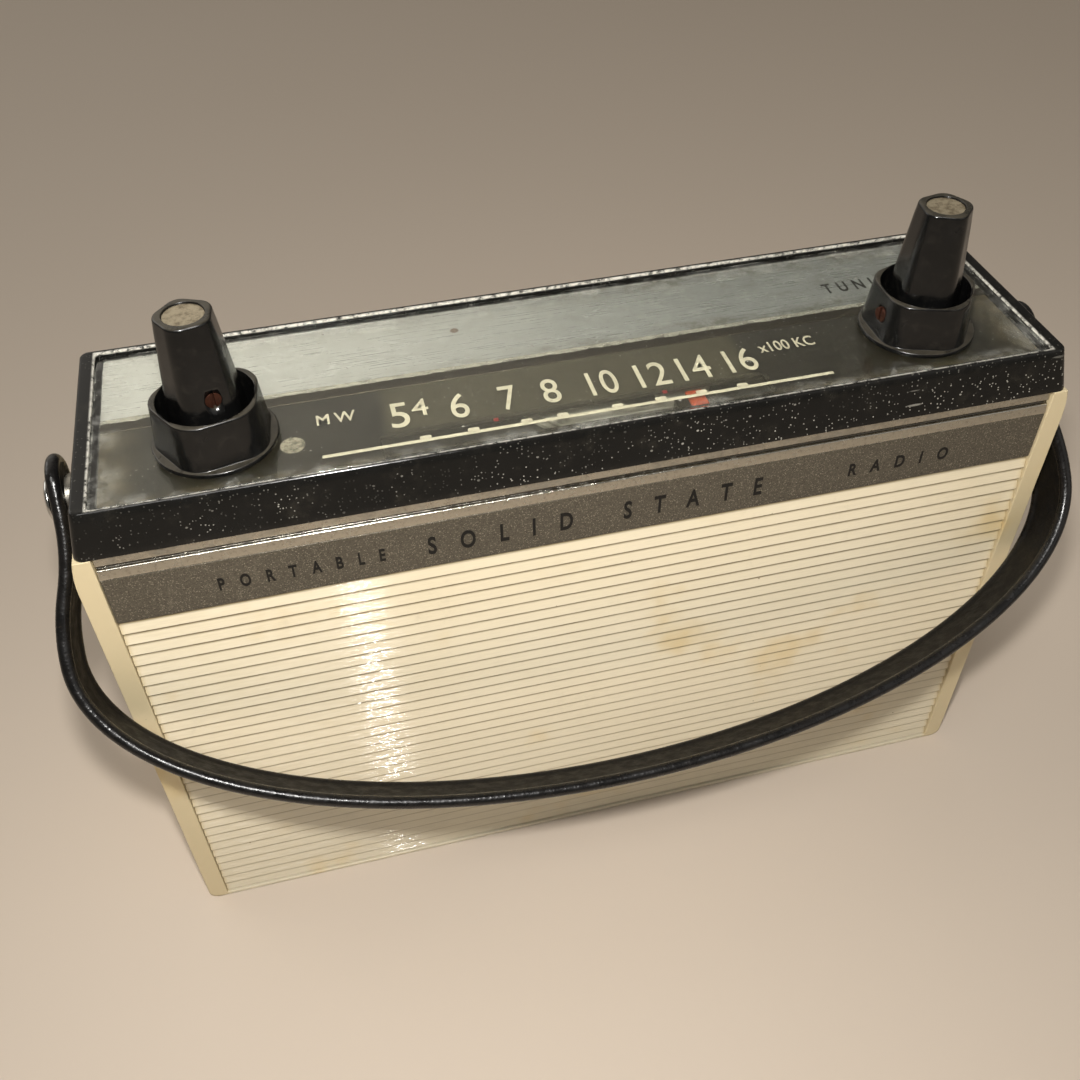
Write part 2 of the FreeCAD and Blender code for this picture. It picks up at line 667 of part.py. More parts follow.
def set_screw(side, level, azimuth, start, end):
    """A slotted grub screw lying along a radius of its knob."""
    grub = doc.addObject("Part::Cylinder", "grub")
    bind(grub, "Radius", S.set_screw_radius)
    bind(grub, "Height", Size.of(end) - Size.of(start))
    slot = doc.addObject("Part::Box", "slot")
    slot.Length, slot.Width, slot.Height = 5, 0.6, 1.6
    slot.Placement = Placement(Vector(-2.5, -0.3, float(end) - float(start) - 0.8), Rotation())
    screw = cut(grub, slot)
    turn = Rotation(Vector(0, 0, 1), azimuth) * Rotation(Vector(0, 1, 0), 90)
    reach = turn.multVec(Vector(0, 0, float(start)))
    screw.Placement = Placement(Vector(side * float(S.knob_x), -float(S.knob_y),
                                       float(level)) + reach, turn)
    return screw


def inlay(node, side):
    """Pale disc let into the top of a cone knob."""
    low = S.cone_top - S.inlay_sink
    keep(rod("z", (side * S.knob_x, -S.knob_y), low, low + 0.5, S.inlay_radius - 0.05), node)


LEFT_CONE_SCREW_AZIMUTH = 288.0
LEFT_RING_SCREW_AZIMUTH = 60.0
RIGHT_CONE_SCREW_AZIMUTH = 30.0
RIGHT_RING_SCREW_AZIMUTH = 190.0
LEFT_RING_FACET, LEFT_CONE_FACET = 247.0, 247.0
RIGHT_RING_FACET, RIGHT_CONE_FACET = 215.0, 208.0


def knobs():
    """Both pairs of concentric knobs with their inlays and set screws."""
    plans = (
        ("volume_knob", "tone_ring", -1, S.volume_radius, S.tone_radius,
         LEFT_CONE_FACET, LEFT_RING_FACET, LEFT_CONE_SCREW_AZIMUTH, LEFT_RING_SCREW_AZIMUTH),
        ("tuning_knob", "tuning_skirt", 1, S.spindle_radius, S.spindle_radius,
         RIGHT_CONE_FACET, RIGHT_RING_FACET, RIGHT_CONE_SCREW_AZIMUTH, RIGHT_RING_SCREW_AZIMUTH),
    )
    for cone, ring, side, cone_bore, ring_bore, cone_facet, ring_facet, cone_at, ring_at in plans:
        piece = knob_cone(cone, side, cone_bore, math.radians(cone_facet - cone_at))
        radial_hole(piece, S.set_screw_level, cone_at, 0, 12)
        inlay(f"{cone}_inlay", side)
        piece = knob_ring(ring, side, ring_bore, math.radians(ring_facet - ring_at))
        radial_hole(piece, S.ring_screw_level, ring_at, S.cup_radius - 1, 16)
    keep(set_screw(-1, S.set_screw_level, LEFT_CONE_SCREW_AZIMUTH, S.volume_radius + 0.05, 7.4),
         "volume_set_screw")
    keep(set_screw(-1, S.ring_screw_level, LEFT_RING_SCREW_AZIMUTH, S.cup_radius + 0.1, 12.2),
         "tone_set_screw")
    keep(group(set_screw(1, S.set_screw_level, RIGHT_CONE_SCREW_AZIMUTH,
                         S.spindle_radius + 0.05, 7.4),
               set_screw(1, S.ring_screw_level, RIGHT_RING_SCREW_AZIMUTH,
                         S.cup_radius + 0.1, 12.2)),
         "tuning_set_screws")


# ---------------------------------------------------------------- controls and drive

LEFT = (-S.knob_x, -S.knob_y)
RIGHT = (S.knob_x, -S.knob_y)


def controls():
    """Dual control with its switch and concentric shafts, and the tuning spindle's bearing."""
    bore = S.tone_radius + S.running_gap
    can = tube("z", LEFT, S.pot_low, S.pot_top, S.pot_radius, S.volume_radius + S.running_gap)
    neck = tube("z", LEFT, S.pot_top, S.bush_top, S.bush_radius, bore)
    well = rod("z", LEFT, S.pot_top - 3, S.pot_top + 1, bore)
    keep(join(cut(can, well), neck), "volume_control")
    keep(tube("z", LEFT, S.switch_low, S.pot_low, S.switch_radius, S.volume_radius + 0.2),
         "power_switch")
    keep(rod("z", LEFT, S.pot_low - 3, S.cone_bore_top - 0.2, S.volume_radius), "volume_shaft")
    keep(tube("z", LEFT, S.pot_top - 2.5, S.cup_floor, S.tone_radius,
              S.volume_radius + S.running_gap), "tone_shaft")
    flange = tube("z", RIGHT, S.chassis_level - 2, S.chassis_level, S.bush_radius + 2,
                  S.spindle_radius + S.running_gap)
    sleeve = tube("z", RIGHT, S.chassis_level, S.cord_level - 1.4, S.bush_radius,
                  S.spindle_radius + S.running_gap)
    keep(join(flange, sleeve), "tuning_bush")
    keep(group(bush_nut(LEFT), bush_nut(RIGHT)), "bush_nuts")
    low, high = S.cord_level - 0.9, S.cord_level + 0.9
    floor = S.spindle_cord_radius - S.cord_radius - S.groove_gap
    keep(join(rod("z", RIGHT, S.chassis_level - 6, low, S.spindle_radius),
              rod("z", RIGHT, low, high, floor),
              rod("z", RIGHT, high, S.cone_bore_top - 0.2, S.spindle_radius)), "tuning_spindle")


def bush_nut(centre):
    """Six-sided nut over a bush, on top of the chassis."""
    nut = doc.addObject("Part::Prism", "nut")
    nut.Polygon = 6
    nut.Circumradius = 7
    low = S.chassis_level + S.chassis_thick
    nut.Height = 2.2
    for axis, size in zip("xyz", (*centre, low)):
        bind(nut, f"Placement.Base.{axis}", size)
    return cut(nut, rod("z", centre, low - 1, low + 4, S.bush_radius))


def top_chassis():
    """Steel plate under the cap with bent legs that carry the circuit board."""
    top = S.chassis_level + S.chassis_thick
    piece = Piece("top_chassis")
    piece.pad("XY", S.chassis_level, top,
              rect(-S.chassis_width, S.chassis_width, -S.chassis_front, S.chassis_back))
    piece.pocket("XY", S.chassis_level - 1, top + 1,
                 rect(S.chassis_width - 4, S.chassis_width + 1, S.pivot_y - 5, S.pivot_y + 5))
    piece.mirror()
    piece.pocket("XY", S.chassis_level - 1, top + 1, disc(S.knob_x, -S.knob_y, S.bush_radius))
    piece.mirror()
    piece.pocket("XY", S.chassis_level - 1, top + 1, disc(S.drum_x, S.drum_y, 4.5))
    for screw_y in (-S.pillar_front, S.pillar_back):
        piece.pocket("XY", S.chassis_level - 1, top + 1, disc(S.pillar_x - 0.2, screw_y, 1.0))
        piece.mirror()
    for screw_y in CHASSIS_SCREW_YS:
        piece.pocket("XY", S.chassis_level - 1, top + 1,
                     disc(S.half_width - S.case_wall - 6, screw_y, 1.3))
        piece.mirror()
    for leg_x in (32, 92):
        piece.pad("XZ", 0, S.board_front, rect(leg_x, leg_x + 10, S.board_high - 8,
                                               S.chassis_level + 0.5))


def wheel(node, centre, cord_radius, bore, hub=None, holes=0):
    """A grooved cord wheel turned about a vertical axis, on its own origin."""
    rim = float(cord_radius + S.drum_rim)
    floor = float(cord_radius - S.cord_radius - S.groove_gap)
    half, hole = float(S.wheel_half), float(bore)
    profile = [(hole, -half), (rim, -half), (rim, -0.8), (floor, -0.45), (floor, 0.45),
               (rim, 0.8), (rim, half), (hole, half)]
    piece = Piece(node)
    piece.revolve(outline(profile))
    if hub is not None:
        piece.pad("XY", -S.wheel_half - hub, -S.wheel_half, disc(0, 0, 4.2))
        piece.pocket("XY", -S.wheel_half - hub - 1, -S.wheel_half + 1, disc(0, 0, bore))
    if holes:
        piece.pocket("XY", -S.wheel_half - 1, S.wheel_half + 1,
                     disc(cord_radius * 0.55, 0, 5.5))
        piece.ring(holes)
    piece.place(centre[0], centre[1], S.cord_level)


DRUM = (S.drum_x, S.drum_y)
IDLER_LEFT = (-S.idler_x, -S.idler_y)
IDLER_RIGHT = (S.idler_x, -S.idler_y)


def belt_wire(wheels):
    """The closed line that lies round a list of (x, y, radius) wheels in anticlockwise order."""
    edges = []
    level = float(S.cord_level)
    touches = []
    for index, (x, y, radius) in enumerate(wheels):
        next_x, next_y, next_radius = wheels[(index + 1) % len(wheels)]
        span = math.hypot(next_x - x, next_y - y)
        heading = math.atan2(next_y - y, next_x - x)
        # the outside tangent's normal leans by the difference of the radii
        normal = heading - math.pi / 2 + math.asin((radius - next_radius) / span)
        out = Vector(math.cos(normal), math.sin(normal))
        touches.append((Vector(x, y, level) + out * radius,
                        Vector(next_x, next_y, level) + out * next_radius, normal))
    for index, (x, y, radius) in enumerate(wheels):
        arrive, leave = touches[index - 1], touches[index]
        start, end = arrive[2], leave[2]
        while end < start:
            end += 2 * math.pi
        middle = Vector(x, y, level) + Vector(math.cos((start + end) / 2),
                                              math.sin((start + end) / 2)) * radius
        edges.append(Part.Arc(arrive[1], middle, leave[0]).toShape())
        edges.append(Part.LineSegment(leave[0], leave[1]).toShape())
    return Part.Wire(edges)


def dial_cord():
    """The closed cord round the idlers, the spindle and the drum."""
    wheels = [(float(IDLER_LEFT[0]), float(IDLER_LEFT[1]), float(S.idler_cord_radius)),
              (float(IDLER_RIGHT[0]), float(IDLER_RIGHT[1]), float(S.idler_cord_radius)),
              (float(RIGHT[0]), float(RIGHT[1]), float(S.spindle_cord_radius)),
              (float(DRUM[0]), float(DRUM[1]), float(S.drum_cord_radius))]
    path = belt_wire(wheels)
    start = path.Edges[-1]
    middle = start.valueAt((start.FirstParameter + start.LastParameter) / 2)
    along = start.tangentAt((start.FirstParameter + start.LastParameter) / 2)
    ordered = Part.Wire([Part.LineSegment(middle, start.Vertexes[-1].Point).toShape()]
                        + path.Edges[:-1]
                        + [Part.LineSegment(start.Vertexes[0].Point, middle).toShape()])
    section = Part.Wire([Part.Circle(middle, along, float(S.cord_radius)).toShape()])
    solid = ordered.makePipeShell([section], True, False)
    item = doc.addObject("Part::Feature", "dial_cord")
    item.Shape = solid
    keep(item, "dial_cord")
    print(f"dial cord: volume {solid.Volume:.2f}, section times length "
          f"{math.pi * float(S.cord_radius) ** 2 * ordered.Length:.2f}")


def drive():
    """Drum on the capacitor's shaft, idlers on their pins, cord, rail and pointer."""
    wheel("dial_drum", DRUM, S.drum_cord_radius, S.spindle_radius, hub=1.4, holes=5)
    wheel("idler_left", IDLER_LEFT, S.idler_cord_radius, S.idler_bore)
    wheel("idler_right", IDLER_RIGHT, S.idler_cord_radius, S.idler_bore)
    pins = []
    floor = S.chassis_level + S.chassis_thick
    for centre in (IDLER_LEFT, IDLER_RIGHT):
        under = S.cord_level - S.wheel_half - 0.15
        over = S.cord_level + S.wheel_half + 0.15
        pins.append(join(rod("z", centre, floor, under, 2.2),
                         rod("z", centre, under, over, S.pin_radius),
                         rod("z", centre, over, over + 0.6, 2.2)))
    keep(group(*pins), "idler_pins")
    dial_cord()
    half = S.capacitor_half
    case = box((S.drum_x - half, S.drum_x + half), (S.drum_y - half, S.drum_y + half),
               (S.capacitor_low, S.capacitor_top))
    neck = rod("z", DRUM, S.capacitor_top - 1, S.chassis_level, 8)
    well = rod("z", DRUM, S.capacitor_top - 8, S.chassis_level + 1,
               S.spindle_radius + S.running_gap)
    keep(cut(join(case, neck), well), "tuning_capacitor")
    keep(rod("z", DRUM, S.capacitor_top - 7.5, S.cord_level + S.wheel_half + 0.8,
             S.spindle_radius), "capacitor_shaft")
    keep(rod("x", (-S.idler_y, S.rail_level), -S.rail_half, S.rail_half, S.rail_radius),
         "pointer_rail")
    brackets = []
    for side in (-1, 1):
        middle = side * S.bracket_x
        post = box((middle - 0.6, middle + 0.6), (-S.idler_y - 2.4, -S.idler_y + 2.4),
                   (floor, S.rail_level + 1.5))
        foot_low, foot_high = sorted((middle, middle + side * 5), key=float)
        foot = box((foot_low, foot_high), (-S.idler_y - 2.4, -S.idler_y + 2.4),
                   (floor, floor + 1))
        brackets.append(cut(join(post, foot), rod("x", (-S.idler_y, S.rail_level),
                                                  middle - 1, middle + 1, S.rail_radius)))
    keep(group(*brackets), "rail_brackets")


def dial_pointer():
    """Orange flag on a carriage that slides on the rail and grips the cord's front run."""
    middle, rail_y = S.pointer_x, -S.idler_y
    cord_y = rail_y - S.idler_cord_radius
    half = S.pointer_width / 2
    piece = Piece("dial_pointer")
    piece.pad("XY", S.rail_level - 1.7, S.pointer_level,
              rect(middle - 5, middle + 5, rail_y - 2.4, rail_y + 2.4))
    piece.pad("XY", S.cord_level - 1.2, S.rail_level,
              rect(middle - 2.5, middle + 2.5, cord_y - 1.2, rail_y - 1.6))
    piece.pad("XY", S.pointer_level - 0.1, S.pointer_level + 0.8,
              rect(middle - half, middle + half, -S.slot_front + 0.2, -S.slot_back - 0.2))
    piece.pocket("YZ", middle - 6, middle + 6, disc(rail_y, S.rail_level,
                                                    S.rail_radius + 0.05))
    piece.pocket("YZ", middle - 6, middle + 6, disc(cord_y, S.cord_level,
                                                    S.cord_radius + 0.12))


# ---------------------------------------------------------------- strap

def strap_side(half_gap, sign):
    """One flank of the loop at an offset from its middle line, from the tab's end down."""
    tab_x = float(S.strap_tab_x) + half_gap
    wide, deep = float(S.loop_width) + half_gap, float(S.loop_depth) + half_gap
    centre, tab = float(S.loop_centre), float(S.tab_length)
    drop, swing = centre - tab, float(S.loop_width - S.strap_tab_x)
    bend = (drop ** 2 + swing ** 2) / (4 * swing)
    angle = math.asin(drop / 2 / bend)
    place = lambda x, s: Vector(sign * x, -s)
    out_centre = (tab_x + bend - half_gap, tab)
    in_centre = (float(S.loop_width) - bend, centre)
    first, second = bend - half_gap, bend + half_gap
    joint = (out_centre[0] - first * math.cos(angle), tab + first * math.sin(angle))
    mid_one = (out_centre[0] - first * math.cos(angle / 2), tab + first * math.sin(angle / 2))
    mid_two = (in_centre[0] + second * math.cos(angle / 2),
               centre - second * math.sin(angle / 2))
    return SimpleNamespace(
        end=place(tab_x, -float(S.tab_end)), knee=place(tab_x, tab), mid_one=place(*mid_one),
        joint=place(*joint), mid_two=place(*mid_two), hip=place(wide, centre),
        wide=wide, deep=deep, centre=centre)


def strap_loop(sketch):
    """The strap seen square on: two straight tabs, a swell to each side and a half ellipse."""
    half = float(S.strap_thick) / 2
    flanks = {(gap, sign): strap_side(gap, sign) for gap in (half, -half) for sign in (1, -1)}
    curves = []
    for (gap, sign), flank in flanks.items():
        curves += [Part.LineSegment(flank.end, flank.knee),
                   Part.Arc(flank.knee, flank.mid_one, flank.joint),
                   Part.Arc(flank.joint, flank.mid_two, flank.hip)]
    for gap in (half, -half):
        flank = flanks[(gap, 1)]
        ellipse = Part.Ellipse(Vector(0, -flank.centre), flank.wide, flank.deep)
        curves.append(Part.ArcOfEllipse(ellipse, math.pi, 2 * math.pi))
    for sign in (1, -1):
        curves.append(Part.LineSegment(flanks[(half, sign)].end, flanks[(-half, sign)].end))
    chain(sketch, curves)


def handle_strap():
    """Carrying strap: one band whose rounded tabs hang on the side pivots."""
    piece = Piece("handle_strap")
    piece.pad("XY", -S.strap_width / 2, S.strap_width / 2, strap_loop)
    piece.pocket("YZ", -S.half_width - 10, S.half_width + 10, disc(0, 0, S.strap_hole))
    end = float(S.tab_end)
    piece.fillet(S.strap_width / 2 - 0.2,
                 lambda edge: all(abs(vertex.Y - end) < 1e-4 for vertex in edge.Vertexes)
                 and abs(edge.Length - float(S.strap_thick)) < 1e-4)
    piece.place(0, S.pivot_y, S.pivot_z, Rotation(Vector(1, 0, 0), 90 - float(S.strap_tilt)))


def handle_fittings():
    """Side pivots set in the case walls, and the domed heads that hold the strap on them."""
    centre = (S.pivot_y, S.pivot_z)
    inner = S.half_width - S.case_wall
    pivots, domes = [], []
    for side in (-1, 1):
        spans = [(inner - 2.4, inner, S.pivot_flange - 1), (inner, S.half_width, S.pivot_radius),
                 (S.half_width, S.flange_face, S.pivot_flange),
                 (S.flange_face, S.rivet_face + 0.8, S.pivot_radius)]
        rods = []
        for near, far, radius in spans:
            low, high = sorted((side * near, side * far), key=float)
            rods.append(rod("x", centre, low, high, radius))
        pivots.append(join(*rods))
        domes.append(domed_head(side))
    keep(group(*pivots), "handle_pivots")
    keep(group(*domes), "handle_rivets")


def domed_head(side):
    """A shallow dome, seated over the end of its pivot."""
    radius, height = float(S.rivet_radius), float(S.rivet_height)
    rise = height - 0.5
    sphere = (radius ** 2 + rise ** 2) / (2 * rise)
    ball = doc.addObject("Part::Sphere", "ball")
    ball.Radius = sphere
    ball.Placement = Placement(Vector(side * (float(S.rivet_face) + height - sphere),
                                      float(S.pivot_y), float(S.pivot_z)), Rotation())
    low, high = sorted((side * S.rivet_face, side * (S.rivet_face + height)), key=float)
    cap = doc.addObject("Part::Common", "cap")
    cap.Base = ball
    cap.Tool = rod("x", (S.pivot_y, S.pivot_z), low, high, S.rivet_radius)
    low, high = sorted((side * (S.rivet_face - 1), side * (S.rivet_face + 0.8)), key=float)
    return cut(cap, rod("x", (S.pivot_y, S.pivot_z), low, high, S.pivot_radius))


# ---------------------------------------------------------------- loudspeaker

def speaker_part(node, profile):
    """A turned piece of the loudspeaker; the profile is (radius, y) about its own axis."""
    piece = Piece(node)
    piece.revolve(outline(profile), plane="XY", axis="Y_Axis")
    piece.place(S.speaker_x, 0, S.speaker_z)


def loudspeaker():
    """Frame, paper cone and magnet, facing the slots, with cloth in front."""
    rim, neck = float(S.speaker_radius), float(S.magnet_radius)
    speaker_part("speaker_frame", [(rim - 4, -28.6), (rim, -28.6), (rim, -27.4),
                                   (rim - 2.4, -27.4), (neck + 3, -11.2), (neck + 3, -10.0),
                                   (6.0, -10.0), (6.0, -11.2), (neck, -11.2), (rim - 4, -27.0)])
    speaker_part("speaker_cone", [(rim - 4.2, -28.5), (rim - 4.2, -27.9), (12.0, -13.2),
                                  (0.0, -16.6), (0.0, -17.2), (12.0, -13.9)])
    speaker_part("speaker_magnet", [(0.0, -9.98), (neck, -9.98), (neck, -2.0), (0.0, -2.0)])
    reach = S.speaker_radius - 2
    keep(box((S.speaker_x - reach, S.speaker_x + reach), (-S.panel_back + 0.05, -28.9),
             (S.speaker_z - reach, S.speaker_z + reach)), "grille_cloth")


# ---------------------------------------------------------------- board, battery, aerial

def placed_row(count, first, step, make):
    """Items of one kind in a row along X."""
    return [make(first + step * index) for index in range(count)]


def electronics():
    """Printed board behind the legs, with its parts on the back."""
    face = S.board_front + S.board_thick
    board = Piece("circuit_board")
    board.pad("XZ", S.board_front, face,
              rect(S.board_left, S.board_right, S.board_low, S.board_high))
    for hole_x in BOARD_SCREW_XS:
        board.pocket("XZ", S.board_front - 1, face + 1, disc(hole_x, S.board_high - 4, 1.3))
    cans = placed_row(4, 12.0, 24.0, lambda x: box((x, x + 10), (face, face + 12), (88, 98)))
    keep(group(*cans), "if_transformers")
    transistors = placed_row(8, 6.0, 13.0,
                             lambda x: rod("y", (x, 76), face, face + 7, 2.9))
    keep(group(*transistors), "transistors")
    cans = placed_row(4, 26.0, 16.0, lambda x: rod("z", (x, face + 4.6), 54, 68, 4.5))
    keep(group(*cans), "electrolytic_capacitors")
    upper = placed_row(10, 4.0, 10.6, lambda x: rod("z", (x, face + 1.4), 102, 108.5, 1.3))
    lower = placed_row(7, 24.0, 11.0, lambda x: rod("x", (face + 1.4, 46), x, x + 6.5, 1.3))
    keep(group(*upper, *lower), "resistors")
    transformers = []
    for left, low in ((-5.0, 40.5), (86.0, 53.0)):
        core = box((left, left + 22), (face, face + 9), (low, low + 16))
        coil = box((left + 4, left + 18), (face, face + 13), (low + 3, low + 13))
        transformers.append(join(core, coil))
    keep(group(*transformers), "audio_transformers")


def battery():
    """Plastic tray with four cells in two rows, and the contact plates at its ends."""
    wall = S.tray_wall
    middle = (S.tray_left + S.tray_right) / 2
    rows = (-14.0, 13.2)
    front, back = rows[0] - S.cell_radius - 0.3, rows[1] + S.cell_radius + 0.3
    outer = box((S.tray_left, S.tray_right), (front - wall, back + wall),
                (S.tray_low, S.tray_high - 8))
    hollow = box((S.tray_left + wall, S.tray_right - wall), (front, back),
                 (S.tray_low + wall, S.tray_high))
    keep(cut(outer, hollow), "battery_tray")
    centre_z = S.tray_low + wall + S.cell_radius + 0.2
    cells = []
    for row_y in rows:
        for left in (middle - S.cell_length - 0.8, middle + 0.8):
            body = rod("x", (row_y, centre_z), left, left + S.cell_length - 1.5, S.cell_radius)
            tip_low = left + S.cell_length - 1.6
            cells.append(join(body, rod("x", (row_y, centre_z), tip_low, tip_low + 1.6, 2.7)))
    keep(group(*cells), "battery_cells")
    plates = []
    for row_y in rows:
        for left in (S.tray_left + wall, S.tray_right - wall - 0.4):
            plates.append(box((left, left + 0.4), (row_y - 6, row_y + 6),
                              (S.tray_low + wall, S.tray_high - 3)))
    keep(group(*plates), "battery_contacts")


def aerial():
    """Ferrite rod behind the chassis edge, its coil and its two holders."""
    centre = (S.rod_y, S.rod_z)
    keep(rod("x", centre, -S.rod_half, S.rod_half, S.rod_radius), "ferrite_rod")
    keep(group(tube("x", centre, -58, -22, S.rod_radius + 1.1, S.rod_radius),
               tube("x", centre, 38, 50, S.rod_radius + 1.1, S.rod_radius)), "aerial_coils")
    holders = []
    for side in (-1, 1):
        x_low = side * 64.0 - 3
        arm = box((x_low, x_low + 6), (S.chassis_back - 8, S.chassis_back - 0.5),
                  (S.rod_z + 3, S.chassis_level))
        clasp = rod("x", centre, x_low, x_low + 6, S.rod_radius + 2)
        holders.append(cut(join(arm, clasp),
                           rod("x", centre, x_low - 1, x_low + 7, S.rod_radius)))
    keep(group(*holders), "rod_holders")


def earphone_socket():
    """Socket through the right side; its bore is open to the outside."""
    centre = (S.socket_y, S.socket_z)
    face = S.half_width + 0.4
    inner = S.half_width - S.case_wall
    collar = rod("x", centre, S.half_width, face, S.socket_radius + 1.4)
    sleeve = rod("x", centre, inner, S.half_width, S.socket_radius)
    block = box((face - S.socket_length - 2, inner), (S.socket_y - 5, S.socket_y + 5),
                (S.socket_z - 5, S.socket_z + 5))
    bore = rod("x", centre, face - S.socket_length, face + 1, S.socket_bore)
    keep(cut(join(collar, sleeve, block), bore), "earphone_socket")


def screw(axis_low, axis_high, centre, axis, radius, head_radius, head_at_low):
    """A pan-head screw along an axis."""
    shank = rod(axis, centre, axis_low, axis_high, radius)
    if head_at_low:
        head = rod(axis, centre, Size.of(axis_low) - 1.4, axis_low, head_radius)
    else:
        head = rod(axis, centre, axis_high, Size.of(axis_high) + 1.4, head_radius)
    return join(shank, head)


def fasteners():
    """Screws of one size for the chassis plate and the board, and smaller ones for the cap."""
    low = S.chassis_level
    top = low + S.chassis_thick
    face = S.board_front + S.board_thick
    main = [screw(S.board_front, face, (hole_x, S.board_high - 4), "y", 1.28, 2.3, False)
            for hole_x in BOARD_SCREW_XS]
    cap = []
    for side in (-1, 1):
        for screw_y in CHASSIS_SCREW_YS:
            centre = (side * (S.half_width - S.case_wall - 6), screw_y)
            main.append(screw(low - 6, top, centre, "z", 1.28, 2.3, False))
        for screw_y in (-S.pillar_front, S.pillar_back):
            cap.append(screw(low, top + 5, (side * (S.pillar_x - 0.2), screw_y), "z",
                             0.98, 1.9, True))
    keep(group(*main), "fixing_screws")
    keep(group(*cap), "cap_screws")


# ---------------------------------------------------------------- assembly

for build in (front_case, front_grille_panel, trim_band, bright_moulding, rear_cover, cover_screw,
              top_cap, dial_lens, dial_plate, silver_panel, step_strip, knobs, controls,
              top_chassis, drive, dial_pointer, handle_strap, handle_fittings, loudspeaker,
              electronics, battery, aerial, earphone_socket, fasteners):
    build()
doc.recompute()

faults = [item.Label for item in doc.Objects if {"Invalid", "Error"} & set(item.State)]
faults += [node for node, item in nodes.items()
           if item.Shape.isNull() or not item.Shape.isValid() or not item.Shape.Solids]
if faults:
    raise SystemExit(f"failed: {sorted(set(faults))}")

os.makedirs("parts", exist_ok=True)
for node, item in nodes.items():
    item.Shape.exportStep(f"parts/{node}.step")
print(f"{len(nodes)} nodes, {sum(len(item.Shape.Solids) for item in nodes.values())} solids")
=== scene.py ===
import json
import math

import bmesh
import bpy
from mathutils import Matrix, Vector

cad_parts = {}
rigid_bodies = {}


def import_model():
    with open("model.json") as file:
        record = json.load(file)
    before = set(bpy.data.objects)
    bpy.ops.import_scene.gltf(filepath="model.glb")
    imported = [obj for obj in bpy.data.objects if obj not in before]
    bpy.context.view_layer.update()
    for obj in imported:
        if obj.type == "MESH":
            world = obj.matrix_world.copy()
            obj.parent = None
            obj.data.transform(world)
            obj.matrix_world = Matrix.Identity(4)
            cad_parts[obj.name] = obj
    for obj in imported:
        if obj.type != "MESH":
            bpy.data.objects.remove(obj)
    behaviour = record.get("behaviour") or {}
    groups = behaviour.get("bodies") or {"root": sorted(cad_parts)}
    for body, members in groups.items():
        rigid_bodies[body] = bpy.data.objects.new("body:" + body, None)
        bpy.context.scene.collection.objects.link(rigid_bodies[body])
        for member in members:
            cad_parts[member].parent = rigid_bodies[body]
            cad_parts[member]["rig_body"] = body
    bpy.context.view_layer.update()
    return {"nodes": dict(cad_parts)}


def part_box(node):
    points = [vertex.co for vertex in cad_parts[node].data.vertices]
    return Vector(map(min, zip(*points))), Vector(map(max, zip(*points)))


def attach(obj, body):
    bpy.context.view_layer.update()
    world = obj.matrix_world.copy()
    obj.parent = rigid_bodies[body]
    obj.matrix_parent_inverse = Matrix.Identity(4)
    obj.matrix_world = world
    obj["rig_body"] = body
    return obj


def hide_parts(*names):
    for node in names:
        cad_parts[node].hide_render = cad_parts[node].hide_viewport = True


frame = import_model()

# Looks of a portable transistor radio: ribbed ivory front under a taupe band and a bright
# moulding, glossy black cap with a clear dial window, two concentric knobs, leather strap.
# Metres, X right, Y back, Z up; sizes below are in millimetres and go through MM.

MM = 0.001
FULL_TURN = 2 * math.pi

scene = bpy.context.scene
nodes = frame["nodes"]


# ---------------------------------------------------------------- sizes

LENS_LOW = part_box("dial_lens")[0]
BAND_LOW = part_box("trim_band")[0]
SILVER_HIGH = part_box("silver_panel")[1]

RIB_PITCH = 3.77 * MM
RIB_TOP = 122.3 * MM
RAIL_EDGE = (113.5 * MM, 115.2 * MM)

KNOB_X = 85.2 * MM
KNOB_Y = -12.8 * MM

RIM_SIDE, RIM_FRONT, RIM_BACK, RIM_BLUR = 113.4 * MM, -30.0 * MM, 29.4 * MM, 0.3 * MM

PRINT_LEVEL = LENS_LOW.z - 0.09 * MM
PRINT_THICK = 0.05 * MM
NUMBER_FOOT, NUMBER_TOP = -17.6, -8.4


# ---------------------------------------------------------------- finishes

def linear(red, green, blue):
    """Linear colour of an sRGB one given from 0 to 255."""
    def one(value):
        part = value / 255
        return part / 12.92 if part <= 0.04045 else ((part + 0.055) / 1.055) ** 2.4
    return (one(red), one(green), one(blue), 1.0)


FINISHES = {}


def finish(name):
    """The Blender material of one record slot or one extra surface."""
    return FINISHES[name].material


def shade(value):
    """A mix node's colour: an sRGB triple made linear, anything else as it is."""
    triple = isinstance(value, tuple) and len(value) == 3
    return linear(*value) if triple else value


